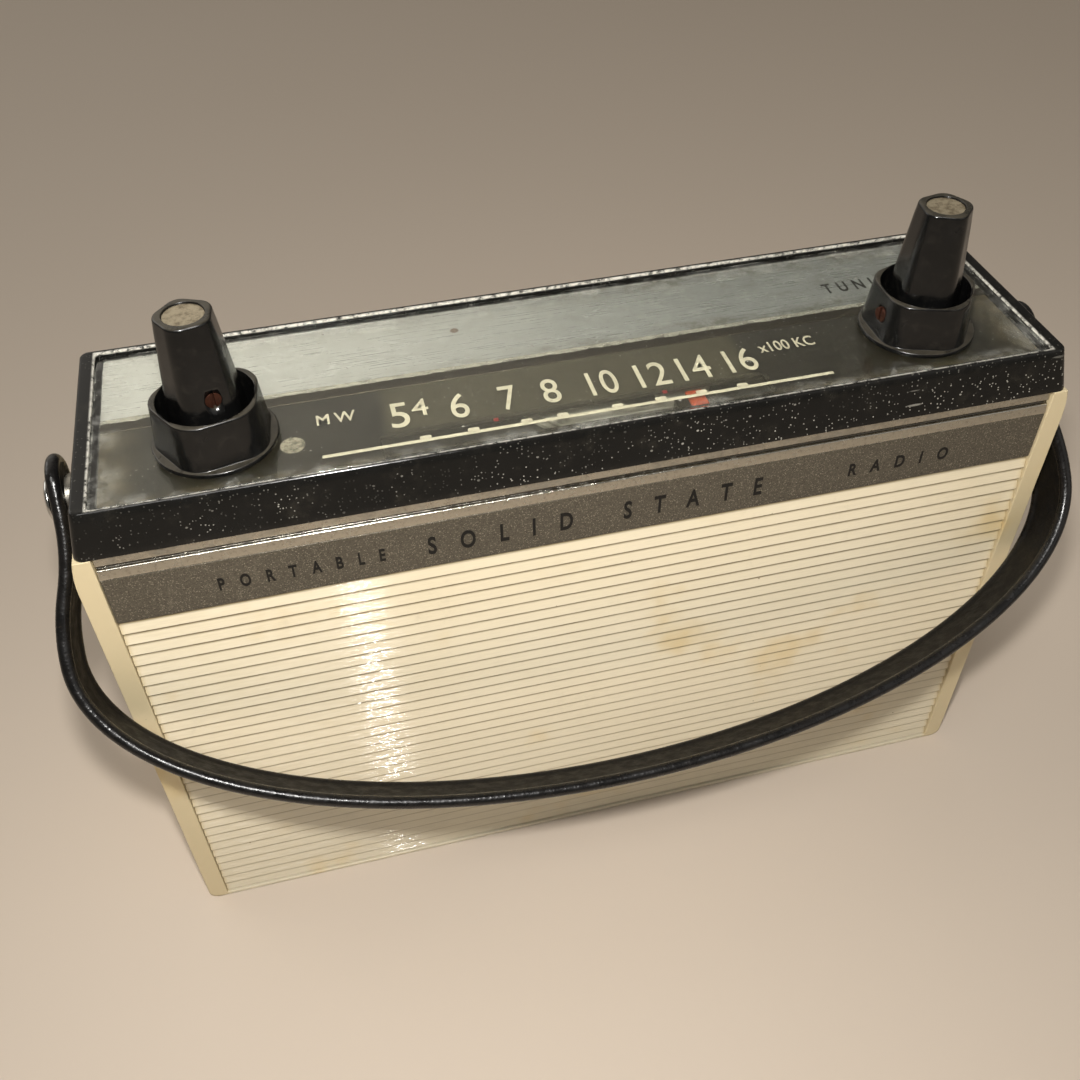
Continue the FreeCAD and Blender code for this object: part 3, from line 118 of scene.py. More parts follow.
class Finish:
    """A procedural material round one Principled shader, in the object's own coordinates."""

    def __init__(self, name, colour, rough, **constants):
        self.material = bpy.data.materials.new(name)
        self.material.use_nodes = True
        self.tree = self.material.node_tree
        self.shader = self.tree.nodes["Principled BSDF"]
        self.output = self.tree.nodes["Material Output"]
        self.place = self.tree.nodes.new("ShaderNodeTexCoord").outputs["Object"]
        self.normal = None
        self.set("Base Color", linear(*colour))
        self.set("Roughness", rough)
        for socket, value in constants.items():
            self.set(socket.replace("_", " "), value)
        self.material.diffuse_color = linear(*colour)
        FINISHES[name] = self

    def set(self, socket, value):
        """Set one socket of the shader to a number, a colour or another node's output."""
        target = self.shader.inputs[socket]
        if isinstance(value, bpy.types.NodeSocket):
            self.tree.links.new(value, target)
        else:
            target.default_value = value

    def add(self, kind, inputs, **settings):
        """A node with its settings, and its inputs set to values or joined to outputs."""
        node = self.tree.nodes.new(kind)
        for key, value in settings.items():
            setattr(node, key, value)
        for key, value in inputs.items():
            if isinstance(value, bpy.types.NodeSocket):
                self.tree.links.new(value, node.inputs[key])
            else:
                node.inputs[key].default_value = value
        return node

    def spot(self, stretch=(1, 1, 1), shift=(0, 0, 0)):
        """Object coordinates stretched and shifted."""
        if stretch == (1, 1, 1) and shift == (0, 0, 0):
            return self.place
        node = self.add("ShaderNodeMapping", {"Vector": self.place, "Scale": stretch,
                                              "Location": shift})
        return node.outputs["Vector"]

    def noise(self, size, detail=4.0, rough=0.55, stretch=(1, 1, 1), shift=(0, 0, 0)):
        """Noise from 0 to 1 whose features are about size millimetres across."""
        node = self.add("ShaderNodeTexNoise", {
            "Vector": self.spot(stretch, shift), "Scale": 1 / (size * MM),
            "Detail": detail, "Roughness": rough})
        return node.outputs["Fac"]

    def cells(self, size, stretch=(1, 1, 1), shift=(0, 0, 0), output="Distance"):
        """Cell pattern of about size millimetres."""
        node = self.add("ShaderNodeTexVoronoi", {
            "Vector": self.spot(stretch, shift), "Scale": 1 / (size * MM)})
        return node.outputs[output]

    def axis(self, name):
        """One object coordinate in metres."""
        return self.add("ShaderNodeSeparateXYZ", {"Vector": self.place}).outputs[name]

    def distance(self, x, y):
        """Distance on the ground plan from one point, in metres."""
        flat = self.add("ShaderNodeVectorMath", {0: self.place, 1: (1.0, 1.0, 0.0)},
                        operation="MULTIPLY")
        return self.add("ShaderNodeVectorMath", {0: flat.outputs["Vector"], 1: (x, y, 0.0)},
                        operation="DISTANCE").outputs["Value"]

    def math(self, operation, *values):
        """One operation on numbers and outputs."""
        return self.add("ShaderNodeMath", dict(enumerate(values)), operation=operation).outputs[0]

    def times(self, first, second):
        return self.math("MULTIPLY", first, second)

    def plus(self, first, second):
        return self.math("ADD", first, second)

    def larger(self, first, second):
        return self.math("MAXIMUM", first, second)

    def aside(self):
        """Distance from the object's middle plane, in metres."""
        return self.math("ABSOLUTE", self.axis("X"))

    def span(self, value, low, high, to_low=0.0, to_high=1.0):
        """Map value from low..high onto to_low..to_high, held at the ends."""
        node = self.add("ShaderNodeMapRange", {
            "Value": value, "From Min": low, "From Max": high,
            "To Min": to_low, "To Max": to_high}, interpolation_type="SMOOTHSTEP")
        return node.outputs["Result"]

    def ramp(self, name, low, high, to_low=0.0, to_high=1.0):
        """Map one coordinate, from low to high millimetres, onto to_low..to_high."""
        return self.span(self.axis(name), low * MM, high * MM, to_low, to_high)

    def mix(self, factor, first, second):
        """Blend two colours, each an sRGB triple or an output."""
        inputs = {0: factor, 6: shade(first), 7: shade(second)}
        return self.add("ShaderNodeMix", inputs, data_type="RGBA").outputs[2]

    def over(self, base, mask, amount, colour):
        """Lay a colour over the base by the mask's share of amount."""
        return self.mix(self.times(mask, amount), base, colour)

    def bump(self, height, depth):
        """Raise the surface by height times depth millimetres, over what is there already."""
        inputs = {"Height": height, "Distance": depth * MM, "Strength": 1.0}
        if self.normal is not None:
            inputs["Normal"] = self.normal
        self.normal = self.add("ShaderNodeBump", inputs).outputs["Normal"]
        self.set("Normal", self.normal)

    def specks(self, size, radius, share, shift=(0, 0, 0), stretch=(1, 1, 1)):
        """Scattered dots: about one cell of size millimetres in share holds a dot."""
        dots = self.span(self.cells(size, stretch, shift), radius * 0.6, radius, 1.0, 0.0)
        pick = self.add("ShaderNodeSeparateColor", {
            "Color": self.cells(size, stretch, shift, output="Color")}).outputs[0]
        return self.times(dots, self.math("LESS_THAN", pick, share))


def make_plastics():
    """Moulded plastics of the cabinet, cap, knobs and inner parts."""
    for name, ribbed in (("ivory_plastic", False), ("ivory_ribs", True)):
        f = Finish(name, (226, 214, 180), 0.42, IOR=1.5,
                   Coat_Weight=0.6 if ribbed else 0.0, Coat_Roughness=0.08)
        # darker and greyer towards the bottom as painted shade, yellowed on the front rails,
        # stained, and grimy in patches
        base = f.mix(f.noise(60, 3), (230, 219, 193), (220, 205, 172))
        # painted shade: greyer and darker towards the bottom
        base = f.over(base, f.ramp("Z", 0.0, 100.0, 1.0, 0.0), 0.5, (190, 182, 160))
        base = f.over(base, f.span(f.aside(), *RAIL_EDGE), 0.7, (206, 188, 146))
        stain = f.span(f.noise(34, 3, 0.6, shift=(0.37, 0.1, 0.22)), 0.56, 0.74)
        base = f.over(base, stain, 0.55, (206, 176, 110))
        grime = f.span(f.noise(14, 6, 0.72, shift=(0.2, 0, 0.4)), 0.58, 0.85)
        base = f.over(base, grime, 0.3, (150, 138, 108))
        base = f.over(base, f.specks(7, 0.045, 0.35), 0.7, (120, 104, 74))
        rough = f.span(f.noise(3, 5), 0.3, 0.7, 0.28, 0.42)
        if ribbed:
            # painted shade under each slat's edge, patchy along the slats
            down = f.math("SUBTRACT", RIB_TOP, f.axis("Z"))
            across = f.math("FRACT", f.math("DIVIDE", down, RIB_PITCH))
            under = f.larger(f.span(across, 0.24, 0.42, 1.0, 0.0),
                             f.span(across, 0.985, 1.0, 0.0, 1.0))
            patch = f.span(f.noise(30, 4, 0.6, stretch=(0.5, 1, 1)), 0.3, 0.7, 0.55, 0.95)
            # painted shade: darkest beside each lip
            base = f.over(base, under, patch, (138, 122, 88))
            # fine lines along the slats, which draw a lamp's reflection out into a streak
            slope = f.span(f.noise(0.16, 2, stretch=(0.03, 1, 1)), 0.0, 1.0, -4.0, 4.0)
            lift = f.add("ShaderNodeCombineXYZ", {"Z": slope}).outputs[0]
            facing = f.add("ShaderNodeNewGeometry", {}).outputs["Normal"]
            tilted = f.add("ShaderNodeVectorMath", {0: facing, 1: lift}, operation="ADD")
            lined = f.add("ShaderNodeVectorMath", {0: tilted.outputs[0]}, operation="NORMALIZE")
            f.set("Coat Normal", lined.outputs[0])
        f.set("Base Color", base)
        f.set("Roughness", rough)
        f.bump(f.noise(0.8, 3), 0.012)

    f = Finish("black_plastic", (16, 16, 15), 0.16, IOR=1.45,
               Specular_IOR_Level=0.4)
    # flecks and scratches, mostly on the front face
    front = f.ramp("Y", -32.5, -30.0, 1.0, 0.12)
    cluster = f.span(f.noise(38, 3, 0.6, shift=(0.5, 0.2, 0)), 0.40, 0.58, 0.08, 1.0)
    small = f.specks(0.8, 0.27, 0.45, shift=(0.011, 0, 0.007))
    large = f.specks(3.4, 0.12, 0.38, shift=(0.003, 0, 0.019), stretch=(1, 1, 1.3))
    scratch = f.specks(6, 0.13, 0.35, shift=(0.02, 0, 0.01), stretch=(0.3, 1, 2.2))
    flecks = f.larger(f.larger(small, large), f.times(scratch, 0.6))
    flecks = f.times(f.times(flecks, front), cluster)
    base = f.mix(f.noise(22, 4), (13, 13, 12), (24, 23, 21))
    dust = f.span(f.noise(5, 6, 0.65, shift=(0.4, 0, 0.3)), 0.5, 0.85)
    base = f.over(base, dust, 0.14, (92, 86, 74))
    base = f.over(base, flecks, 0.8, (176, 172, 160))
    # bright chipped spots and a painted highlight round the top edge of the window
    across, along = f.aside(), f.axis("Y")
    inside = f.times(f.span(along, RIM_FRONT - RIM_BLUR, RIM_FRONT + RIM_BLUR, 0.0, 1.0),
                     f.times(f.span(along, RIM_BACK - RIM_BLUR, RIM_BACK + RIM_BLUR, 1.0, 0.0),
                             f.span(across, RIM_SIDE - RIM_BLUR, RIM_SIDE + RIM_BLUR, 1.0, 0.0)))
    chips_and_highlight = f.span(f.noise(1.6, 7, 0.75), 0.36, 0.56)
    rim = f.times(f.times(inside, f.ramp("Z", 153.2, 153.7)), chips_and_highlight)
    # painted highlight along the rim, broken up into chipped spots
    base = f.over(base, rim, 0.85, (222, 218, 206))
    f.set("Base Color", base)
    f.set("Roughness", f.plus(f.span(f.noise(7, 6, 0.65), 0.35, 0.75, 0.12, 0.30),
                              f.times(flecks, 0.4)))
    f.bump(flecks, 0.03)
    f.bump(f.noise(14, 3), 0.06)

    f = Finish("knob_black", (18, 18, 17), 0.2, IOR=1.48)
    wear = f.span(f.noise(2.6, 6, 0.7), 0.48, 0.8)
    base = f.mix(f.times(wear, 0.2), (10, 10, 10), (64, 60, 53))
    # dust on what faces up
    up = f.span(f.add("ShaderNodeSeparateXYZ", {
        "Vector": f.add("ShaderNodeNewGeometry", {}).outputs["Normal"]}).outputs["Z"], 0.5, 0.95)
    settled = f.times(up, f.span(f.noise(4, 6, 0.7), 0.25, 0.7, 0.2, 0.75))
    base = f.over(base, settled, 0.5, (104, 97, 82))
    f.set("Base Color", base)
    f.set("Roughness", f.plus(f.span(f.noise(6, 5), 0.3, 0.75, 0.12, 0.28),
                              f.times(settled, 0.3)))
    f.bump(f.noise(1.4, 5, 0.6, stretch=(1, 1, 0.4)), 0.02)

    for name, light, dark, rough in (
            ("white_nylon", (228, 226, 214), (204, 200, 184), 0.4),
            ("dark_plastic", (38, 36, 34), (52, 49, 45), 0.45),
            ("phenolic", (150, 104, 58), (118, 78, 40), 0.5),
            ("component_sleeve", (176, 84, 48), (140, 62, 38), 0.35),
            ("cell_jacket", (196, 150, 62), (168, 52, 40), 0.32)):
        f = Finish(name, light, rough)
        base = f.mix(f.span(f.noise(9, 4), 0.35, 0.65), light, dark)
        dust = f.span(f.noise(2.2, 6, 0.7, shift=(0.1, 0.3, 0.2)), 0.55, 0.85)
        f.set("Base Color", f.over(base, dust, 0.35, (128, 118, 98)))
        f.set("Roughness", f.span(f.noise(4, 5), 0.3, 0.7, rough - 0.08, rough + 0.12))
        f.bump(f.noise(0.9, 4), 0.02)


def make_window():
    """Clear window, the plates under it and the print."""
    f = Finish("clear_acrylic", (236, 236, 226), 0.04, IOR=1.42,
               Transmission_Weight=1.0)
    # hairline scratches and haze, then dust along the edges and in motes
    hair = f.specks(11, 0.06, 0.5, stretch=(0.35, 2.6, 1), shift=(0.01, 0.02, 0))
    haze = f.span(f.noise(26, 5, 0.6), 0.45, 0.8)
    f.set("Roughness", f.plus(f.times(haze, 0.03), f.times(hair, 0.25)))
    f.bump(hair, 0.01)
    edge = f.larger(f.span(f.aside(), 0.104, 0.1125, 0.0, 1.0),
                    f.larger(f.ramp("Y", -29.2, -25.0, 1.0, 0.0),
                             f.ramp("Y", 21.5, 22.5, 0.0, 0.8)))
    film = f.times(edge, f.span(f.noise(6, 7, 0.75), 0.45, 0.72, 0.0, 0.22))
    motes = f.times(f.specks(1.3, 0.15, 0.3, shift=(0.02, 0.01, 0)),
                    f.span(f.noise(24, 3), 0.42, 0.62))
    big = f.specks(7, 0.07, 0.22, shift=(0.01, 0.03, 0))
    dust = f.math("MINIMUM", f.plus(film, f.times(f.larger(motes, big),
                                                  0.55)), 1.0)
    f.set("Transmission Weight", f.math("SUBTRACT", 1.0, dust))
    f.set("Base Color", f.mix(dust, (240, 240, 232), (140, 128, 104)))
    # light passes straight through to the dial
    clear = f.add("ShaderNodeBsdfTransparent", {"Color": (0.93, 0.93, 0.9, 1)})
    path = f.add("ShaderNodeLightPath", {})
    join = f.add("ShaderNodeMixShader", {0: path.outputs["Is Shadow Ray"],
                                         1: f.shader.outputs[0], 2: clear.outputs[0]})
    f.tree.links.new(join.outputs[0], f.output.inputs["Surface"])

    f = Finish("dial_brown", (62, 57, 46), 0.45)
    base = f.mix(f.noise(16, 5, 0.6), (26, 24, 19), (38, 35, 28))
    # lighter plate behind the numbers, crusted edges and one smudge
    inner = f.times(f.span(f.math("ABSOLUTE", f.plus(f.axis("X"), 0.0035)),
                           0.0425, 0.0455, 1.0, 0.0),
                    f.ramp("Y", -20.0, -18.5, 0.0, 1.0))
    base = f.over(base, inner, 0.55, (70, 66, 52))
    rim = f.larger(f.ramp("Y", -28.5, -24.5, 1.0, 0.0),
                   f.span(f.aside(), 0.100, 0.111, 0.0, 1.0))
    crust = f.times(rim, f.span(f.noise(5, 6, 0.7), 0.3, 0.7, 0.2, 1.0))
    base = f.over(base, crust, 0.55, (98, 88, 68))
    smudge = f.span(f.distance(-0.0690, -0.0170), 0.0026, 0.0030, 1.0, 0.0)
    smudge = f.times(smudge, f.span(f.noise(1.2, 5, 0.7), 0.35, 0.65, 0.25, 0.9))
    base = f.mix(smudge, base, (150, 144, 128))
    f.set("Base Color", base)
    f.set("Roughness", f.span(f.noise(8, 5), 0.3, 0.7, 0.35, 0.6))
    f.bump(f.noise(1.2, 5), 0.02)

    # painted light: a translucent brown sheet that covers the shade inside the dial slot
    f = Finish("slot_painted_fill", (62, 57, 45), 0.5, Alpha=0.24)
    f.set("Base Color", f.mix(f.noise(14, 5, 0.6), (48, 45, 36), (66, 61, 48)))
    f.bump(f.noise(1.2, 4), 0.005)

    f = Finish("brushed_silver", (170, 173, 175), 0.34,
               Metallic=0.72, Anisotropic=0.35)
    # brushed lines, worn dull towards the edges, brightened to the left by a painted highlight,
    # with spots of rust
    brush = f.noise(0.35, 4, 0.6, stretch=(0.02, 1, 1))
    worn = f.noise(7, 8, 0.78, stretch=(0.8, 1, 1), shift=(0.3, 0.2, 0))
    base = f.mix(brush, (150, 154, 156), (178, 181, 182))
    border = f.larger(f.ramp("Y", 4.0, 8.0, 1.0, 0.0), f.ramp("Y", 19.5, 24.0, 0.0, 1.0))
    spread = f.plus(f.span(worn, 0.50, 0.72, 0.0, 0.55),
                    f.times(border, f.span(worn, 0.40, 0.62, 0.0, 0.6)))
    base = f.mix(spread, base, (120, 118, 110))
    # painted highlight: paler towards the left end
    base = f.over(base, f.ramp("X", -115.0, 60.0, 1.0, 0.0), 0.8, (246, 247, 247))
    blooms = f.span(f.noise(4.5, 7, 0.75, shift=(0.11, 0.06, 0)), 0.5, 0.7, 0.0, 0.5)
    base = f.mix(blooms, base, (206, 208, 206))
    rust = f.larger(f.specks(26, 0.05, 0.3, shift=(0.004, 0.007, 0)),
                    f.span(f.distance(-0.0255, 0.0180), 0.0008, 0.0013, 1.0, 0.0))
    base = f.over(base, rust, 0.8, (98, 62, 36))
    f.set("Base Color", base)
    f.set("Roughness", f.plus(f.span(brush, 0.3, 0.7, 0.24, 0.40),
                              f.span(worn, 0.46, 0.78, 0.0, 0.22)))
    f.bump(brush, 0.012)

    f = Finish("pointer_orange", (236, 92, 44), 0.35)
    # only the raised flag is orange, its carriage is dark
    flag = f.ramp("Z", 149.58, 149.7)
    f.set("Base Color", f.mix(flag, (46, 42, 36), f.mix(f.noise(2, 4), (240, 104, 52),
                                                        (214, 74, 34))))
    f.bump(f.noise(0.6, 3), 0.01)

    for name, colour, rough, shine, patch, light, dark in (
            ("print_white", (184, 178, 160), 0.55, 0.5, (1.5, 5, 0.6), (196, 191, 174),
             (158, 152, 134)),
            ("print_black", (10, 10, 9), 0.4, 0.3, (1.5, 5, 0.6), (8, 8, 8), (20, 19, 17)),
            ("print_red", (122, 32, 28), 0.5, 0.5, (0.8, 4), (132, 34, 30), (88, 24, 22))):
        f = Finish(name, colour, rough, Specular_IOR_Level=shine)
        f.set("Base Color", f.mix(f.noise(*patch), light, dark))
        f.bump(f.noise(0.4, 3), 0.004)


def make_metals():
    """Trim, screws, chassis and the metal parts inside."""
    f = Finish("taupe_anodised", (104, 96, 82), 0.42, Metallic=0.55)
    base = f.mix(f.noise(30, 4), (92, 87, 76), (106, 100, 88))
    # metallic grains, some bright and some dark
    glint = f.add("ShaderNodeSeparateColor",
                  {"Color": f.cells(0.24, output="Color")}).outputs[1]
    base = f.mix(f.span(glint, 0.84, 1.0, 0.0, 0.7), base, (176, 168, 150))
    base = f.mix(f.span(glint, 0.25, 0.0, 0.0, 0.5), base, (58, 52, 44))
    rub = f.span(f.noise(7, 6, 0.7, stretch=(1.4, 1, 0.5), shift=(0.3, 0, 0.6)), 0.62, 0.8)
    base = f.over(base, rub, 0.45, (150, 142, 126))
    f.set("Base Color", base)
    f.set("Roughness", f.span(glint, 0.0, 1.0, 0.5, 0.32))
    f.bump(glint, 0.02)

    f = Finish("bright_metal", (196, 192, 180), 0.22, Metallic=1.0)
    pits = f.span(f.noise(1.1, 6, 0.75), 0.5, 0.72)
    # scuffed flat below, painted shade in the recess, chrome bevel above
    strip = f.ramp("Z", 139.5, 140.2, 0.0, 1.0)
    scuff = f.times(strip, f.span(f.noise(3.4, 6, 0.75, stretch=(0.5, 1, 1)),
                                  0.42, 0.66, 0.25, 1.0))
    base = f.mix(f.times(pits, 0.5), (206, 202, 190), (120, 112, 96))
    base = f.over(base, scuff, 0.5, (140, 134, 120))
    groove_shade = f.times(f.ramp("Z", 139.1, 139.4, 0.0, 1.0), f.ramp("Z", 140.2, 140.5, 1.0, 0.0))
    # painted shade: a dark band along the recess
    base = f.over(base, groove_shade, 0.8, (40, 36, 30))
    f.set("Base Color", base)
    f.set("Roughness", f.plus(f.span(f.noise(2, 5), 0.3, 0.7, 0.12, 0.3),
                              f.times(scuff, 0.3)))
    f.bump(pits, 0.02)

    for name, light, dark, rough, spots in (
            ("chrome", (214, 214, 212), (150, 146, 138), 0.10, 0.35),
            ("nickel_steel", (182, 178, 168), (118, 108, 92), 0.28, 0.5),
            ("zinc_steel", (158, 160, 160), (112, 112, 108), 0.38, 0.4),
            ("brass", (192, 158, 92), (132, 98, 52), 0.3, 0.5),
            ("tarnished_brass", (96, 62, 50), (52, 38, 32), 0.55, 0.7),
            ("aluminium_can", (186, 188, 188), (140, 140, 136), 0.3, 0.4),
            ("control_shell", (170, 166, 150), (120, 112, 92), 0.36, 0.5),
            ("capacitor_case", (176, 176, 170), (128, 124, 112), 0.34, 0.4),
            ("copper_wire", (176, 96, 58), (128, 62, 36), 0.32, 0.3),
            ("spring_plate", (178, 176, 168), (126, 118, 100), 0.3, 0.5)):
        f = Finish(name, light, rough, Metallic=1.0)
        age = f.span(f.noise(2.4, 6, 0.7), 0.45, 0.75)
        base = f.mix(f.noise(14, 3), light, tuple((3 * a + b) // 4 for a, b in zip(light, dark)))
        f.set("Base Color", f.mix(f.times(age, spots), base, dark))
        f.set("Roughness", f.plus(f.span(f.noise(5, 5), 0.3, 0.7, rough * 0.7, rough * 1.3),
                                  f.times(age, 0.22)))
        f.bump(f.noise(0.5, 4, 0.6, stretch=(0.3, 1, 1)), 0.006)

    f = Finish("step_edge", (206, 204, 194), 0.26, Metallic=0.8)
    # a painted highlight on the ragged back edge, which alone is bright
    ridge = f.plus(f.axis("Y"),
                   f.times(f.math("SUBTRACT", f.noise(3, 5, 0.7), 0.5), 0.0016))
    bright = f.times(f.span(ridge, 0.0008, 0.0013),
                     f.span(f.noise(2.2, 7, 0.75, stretch=(0.6, 1, 1)), 0.30, 0.55, 0.25, 1.0))
    # painted highlight along the back edge of the step
    f.set("Base Color", f.mix(bright, (56, 51, 42), (232, 230, 220)))
    f.set("Roughness", f.span(bright, 0.0, 1.0, 0.5, 0.2))
    f.bump(f.noise(0.9, 6, 0.7), 0.05)

    f = Finish("pale_inlay", (140, 128, 106), 0.5, Metallic=0.35)
    worn = f.span(f.noise(1.6, 6, 0.7), 0.38, 0.7)
    f.set("Base Color", f.mix(worn, (156, 144, 120), (104, 92, 72)))
    f.set("Roughness", f.span(worn, 0.0, 1.0, 0.34, 0.6))
    f.bump(f.noise(0.7, 5), 0.04)

    for name, light, dark, rough in (
            ("magnet_iron", (74, 74, 76), (50, 48, 46), 0.55),
            ("ferrite", (52, 50, 50), (38, 36, 36), 0.6),
            ("paper_cone", (58, 50, 42), (42, 36, 30), 0.9)):
        f = Finish(name, light, rough)
        grain = f.noise(1.1, 6, 0.7)
        f.set("Base Color", f.mix(grain, light, dark))
        f.set("Roughness", f.span(grain, 0.3, 0.7, rough - 0.08, min(rough + 0.08, 1.0)))
        f.bump(grain, 0.06)


def make_soft():
    """Leather strap, cords and cloth."""
    for name, light, dark, rough, gloss in (
            ("strap_leather", (18, 15, 11), (11, 9, 7), 0.6, 0.0),
            ("strap_bead", (22, 20, 19), (12, 12, 12), 0.26, 0.3)):
        f = Finish(name, light, rough, Coat_Weight=gloss, Coat_Roughness=0.2,
                   Specular_IOR_Level=0.3)
        grain = f.cells(0.75)
        crease = f.noise(5, 6, 0.65)
        base = f.mix(f.span(crease, 0.35, 0.7), light, dark)
        scuff = f.span(f.noise(2.2, 6, 0.75, shift=(0.2, 0.1, 0.3)), 0.6, 0.82)
        base = f.over(base, scuff, 0.4, (66, 59, 48))
        f.set("Base Color", base)
        f.set("Roughness", f.span(f.noise(3, 5), 0.3, 0.7, rough - 0.1, rough + 0.12))
        f.bump(grain, 0.05)
        f.bump(crease, 0.12)

    f = Finish("cord_nylon", (176, 168, 140), 0.6)
    weave = f.add("ShaderNodeTexWave", {"Vector": f.place, "Scale": 1100.0, "Distortion": 1.5},
                  bands_direction="DIAGONAL").outputs["Fac"]
    f.set("Base Color", f.mix(weave, (190, 182, 152), (128, 118, 92)))
    f.bump(weave, 0.04)

    f = Finish("black_cloth", (26, 24, 22), 0.9, Sheen_Weight=0.25)
    per_thread = FULL_TURN / (0.7 * MM)
    threads = f.times(f.math("SINE", f.times(f.axis("X"), per_thread)),
                      f.math("SINE", f.times(f.axis("Z"), per_thread)))
    f.set("Base Color", f.mix(f.span(threads, -1.0, 1.0), (18, 17, 16), (44, 40, 36)))
    f.bump(threads, 0.08)


make_plastics()
make_window()
make_metals()
make_soft()


# ---------------------------------------------------------------- mesh helpers

def piece_of(name, mesh, materials, body, replaced=(), smooth=True):
    """A scene object from a mesh, with its materials, its body and the nodes it stands for."""
    for material in materials:
        mesh.materials.append(material)
    for face in mesh.polygons:
        face.use_smooth = smooth
    piece = bpy.data.objects.new(name, mesh)
    scene.collection.objects.link(piece)
    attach(piece, body)
    if replaced:
        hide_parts(*replaced)
    return piece


def look_of(node, mesh, material):
    """The piece that stands for a CAD node and rides on the node's own body."""
    return piece_of(f"{node}_look", mesh, [finish(material)], nodes[node]["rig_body"], [node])


def mesh_of(name, bm):
    """Finish a bmesh with outward normals and turn it into a mesh."""
    bmesh.ops.recalc_face_normals(bm, faces=bm.faces)
    mesh = bpy.data.meshes.new(name)
    bm.to_mesh(mesh)
    bm.free()
    return mesh


def soften(piece, width, segments=3, angle=30.0):
    """Round the edges of a piece and keep its flats flat."""
    bevel = piece.modifiers.new("edges", "BEVEL")
    bevel.width = width * MM
    bevel.segments = segments
    bevel.limit_method = "ANGLE"
    bevel.angle_limit = math.radians(angle)
    bevel.harden_normals = True
    bevel.use_clamp_overlap = True
    bevel.miter_outer = "MITER_ARC"
    weigh = piece.modifiers.new("flats", "WEIGHTED_NORMAL")
    weigh.keep_sharp = True
    weigh.weight = 80
    return piece


def rounded_copy(node, slot, material=None, width=0.4, segments=3, angle=30.0):
    """A CAD node's own shape with its seams welded and its edges rounded."""
    source = nodes[node]
    bm = bmesh.new()
    bm.from_mesh(source.data)
    bmesh.ops.remove_doubles(bm, verts=bm.verts, dist=0.002 * MM)
    bmesh.ops.dissolve_limit(bm, angle_limit=math.radians(0.5), verts=bm.verts, edges=bm.edges)
    bmesh.ops.connect_verts_concave(bm, faces=bm.faces)
    mesh = bpy.data.meshes.new(f"{node}_look")
    bm.to_mesh(mesh)
    bm.free()
    piece = piece_of(f"{node}_look", mesh, [material or finish(slot)], source["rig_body"],
                     [node])
    return soften(piece, width, segments, angle)


def loops(bm, rows, close=True):
    """Faces between successive rows of points; each row is a closed ring."""
    rings = [[bm.verts.new(point) for point in row] for row in rows]
    pairs = list(zip(rings, rings[1:]))
    if close:
        pairs.append((rings[-1], rings[0]))
    for low, high in pairs:
        for index in range(len(low)):
            after = (index + 1) % len(low)
            bm.faces.new((low[index], low[after], high[after], high[index]))
    return rings


def closed_bar(bm, rows):
    """Rings of points joined into a tube that is closed at both ends."""
    rings = loops(bm, rows, close=False)
    bm.faces.new(rings[0])
    bm.faces.new(rings[-1])


def grid_faces(bm, grid):
    """Faces over a grid of vertices."""
    for near, far in zip(grid, grid[1:]):
        for k in range(len(near) - 1):
            bm.faces.new((near[k], far[k], far[k + 1], near[k + 1]))


def circle(steps):
    """Cosine and sine of every step round a full turn."""
    turns = [t * FULL_TURN / steps for t in range(steps)]
    return [(math.cos(turn), math.sin(turn)) for turn in turns]


def corner_arc(radius_at, level_at, fillet, start, end, steps=4):
    """Rows (radius, level) round a fillet's centre, from one angle to another in degrees."""
    rows = []
    for step in range(steps + 1):
        angle = math.radians(start + (end - start) * step / steps)
        rows.append((radius_at + fillet * math.cos(angle), level_at + fillet * math.sin(angle)))
    return rows


# ---------------------------------------------------------------- knobs

FACETS = 5
ARC_STEPS = 10
FLAT_STEPS = 6


def facet_ring(reach, corner, turn):
    """Points round a five-sided section with rounded corners."""
    half = math.pi / FACETS
    hub = reach - corner
    points = []
    for index in range(FACETS):
        angle = turn + 2 * half * index
        centre = Vector((hub * math.cos(angle), hub * math.sin(angle)))
        for step in range(ARC_STEPS + 1):
            at = angle - half + 2 * half * step / ARC_STEPS
            points.append(centre + Vector((math.cos(at), math.sin(at))) * corner)
        after = angle + 2 * half
        follow = Vector((hub * math.cos(after), hub * math.sin(after)))
        out = Vector((math.cos(angle + half), math.sin(angle + half))) * corner
        for step in range(1, FLAT_STEPS):
            points.append((centre + out).lerp(follow + out, step / FLAT_STEPS))
    return points


def knob_mesh(name, turn, rows):
    """Closed shell of rows (radius, level, corner); a row with no corner is round."""
    model = facet_ring(10.0, 5.0, turn)
    bearings = [math.atan2(point.y, point.x) for point in model]
    rings = []
    for radius, level, corner in rows:
        if corner is None:
            ring = [Vector((radius * math.cos(b), radius * math.sin(b))) for b in bearings]
        else:
            ring = facet_ring(radius, corner, turn)
        rings.append([(point.x * MM, point.y * MM, level * MM) for point in ring])
    bm = bmesh.new()
    loops(bm, rings)
    bmesh.ops.remove_doubles(bm, verts=bm.verts, dist=0.001 * MM)
    return mesh_of(name, bm)


def round_bar(name, rows):
    """Closed bar along X whose rows are (out, radius) in mm."""
    bm = bmesh.new()
    closed_bar(bm, [[(out * MM, wide * MM * c, wide * MM * s) for c, s in circle(32)]
                    for out, wide in rows])
    cutter = bpy.data.objects.new(name, mesh_of(name, bm))
    scene.collection.objects.link(cutter)
    return cutter


def carve(piece, cutter):
    """Cut a helper object's shape out of a piece and drop the helper."""
    trim = piece.modifiers.new("hole", "BOOLEAN")
    trim.operation = "DIFFERENCE"
    trim.solver = "EXACT"
    trim.object = cutter
    settle(piece)
    bpy.data.objects.remove(cutter)


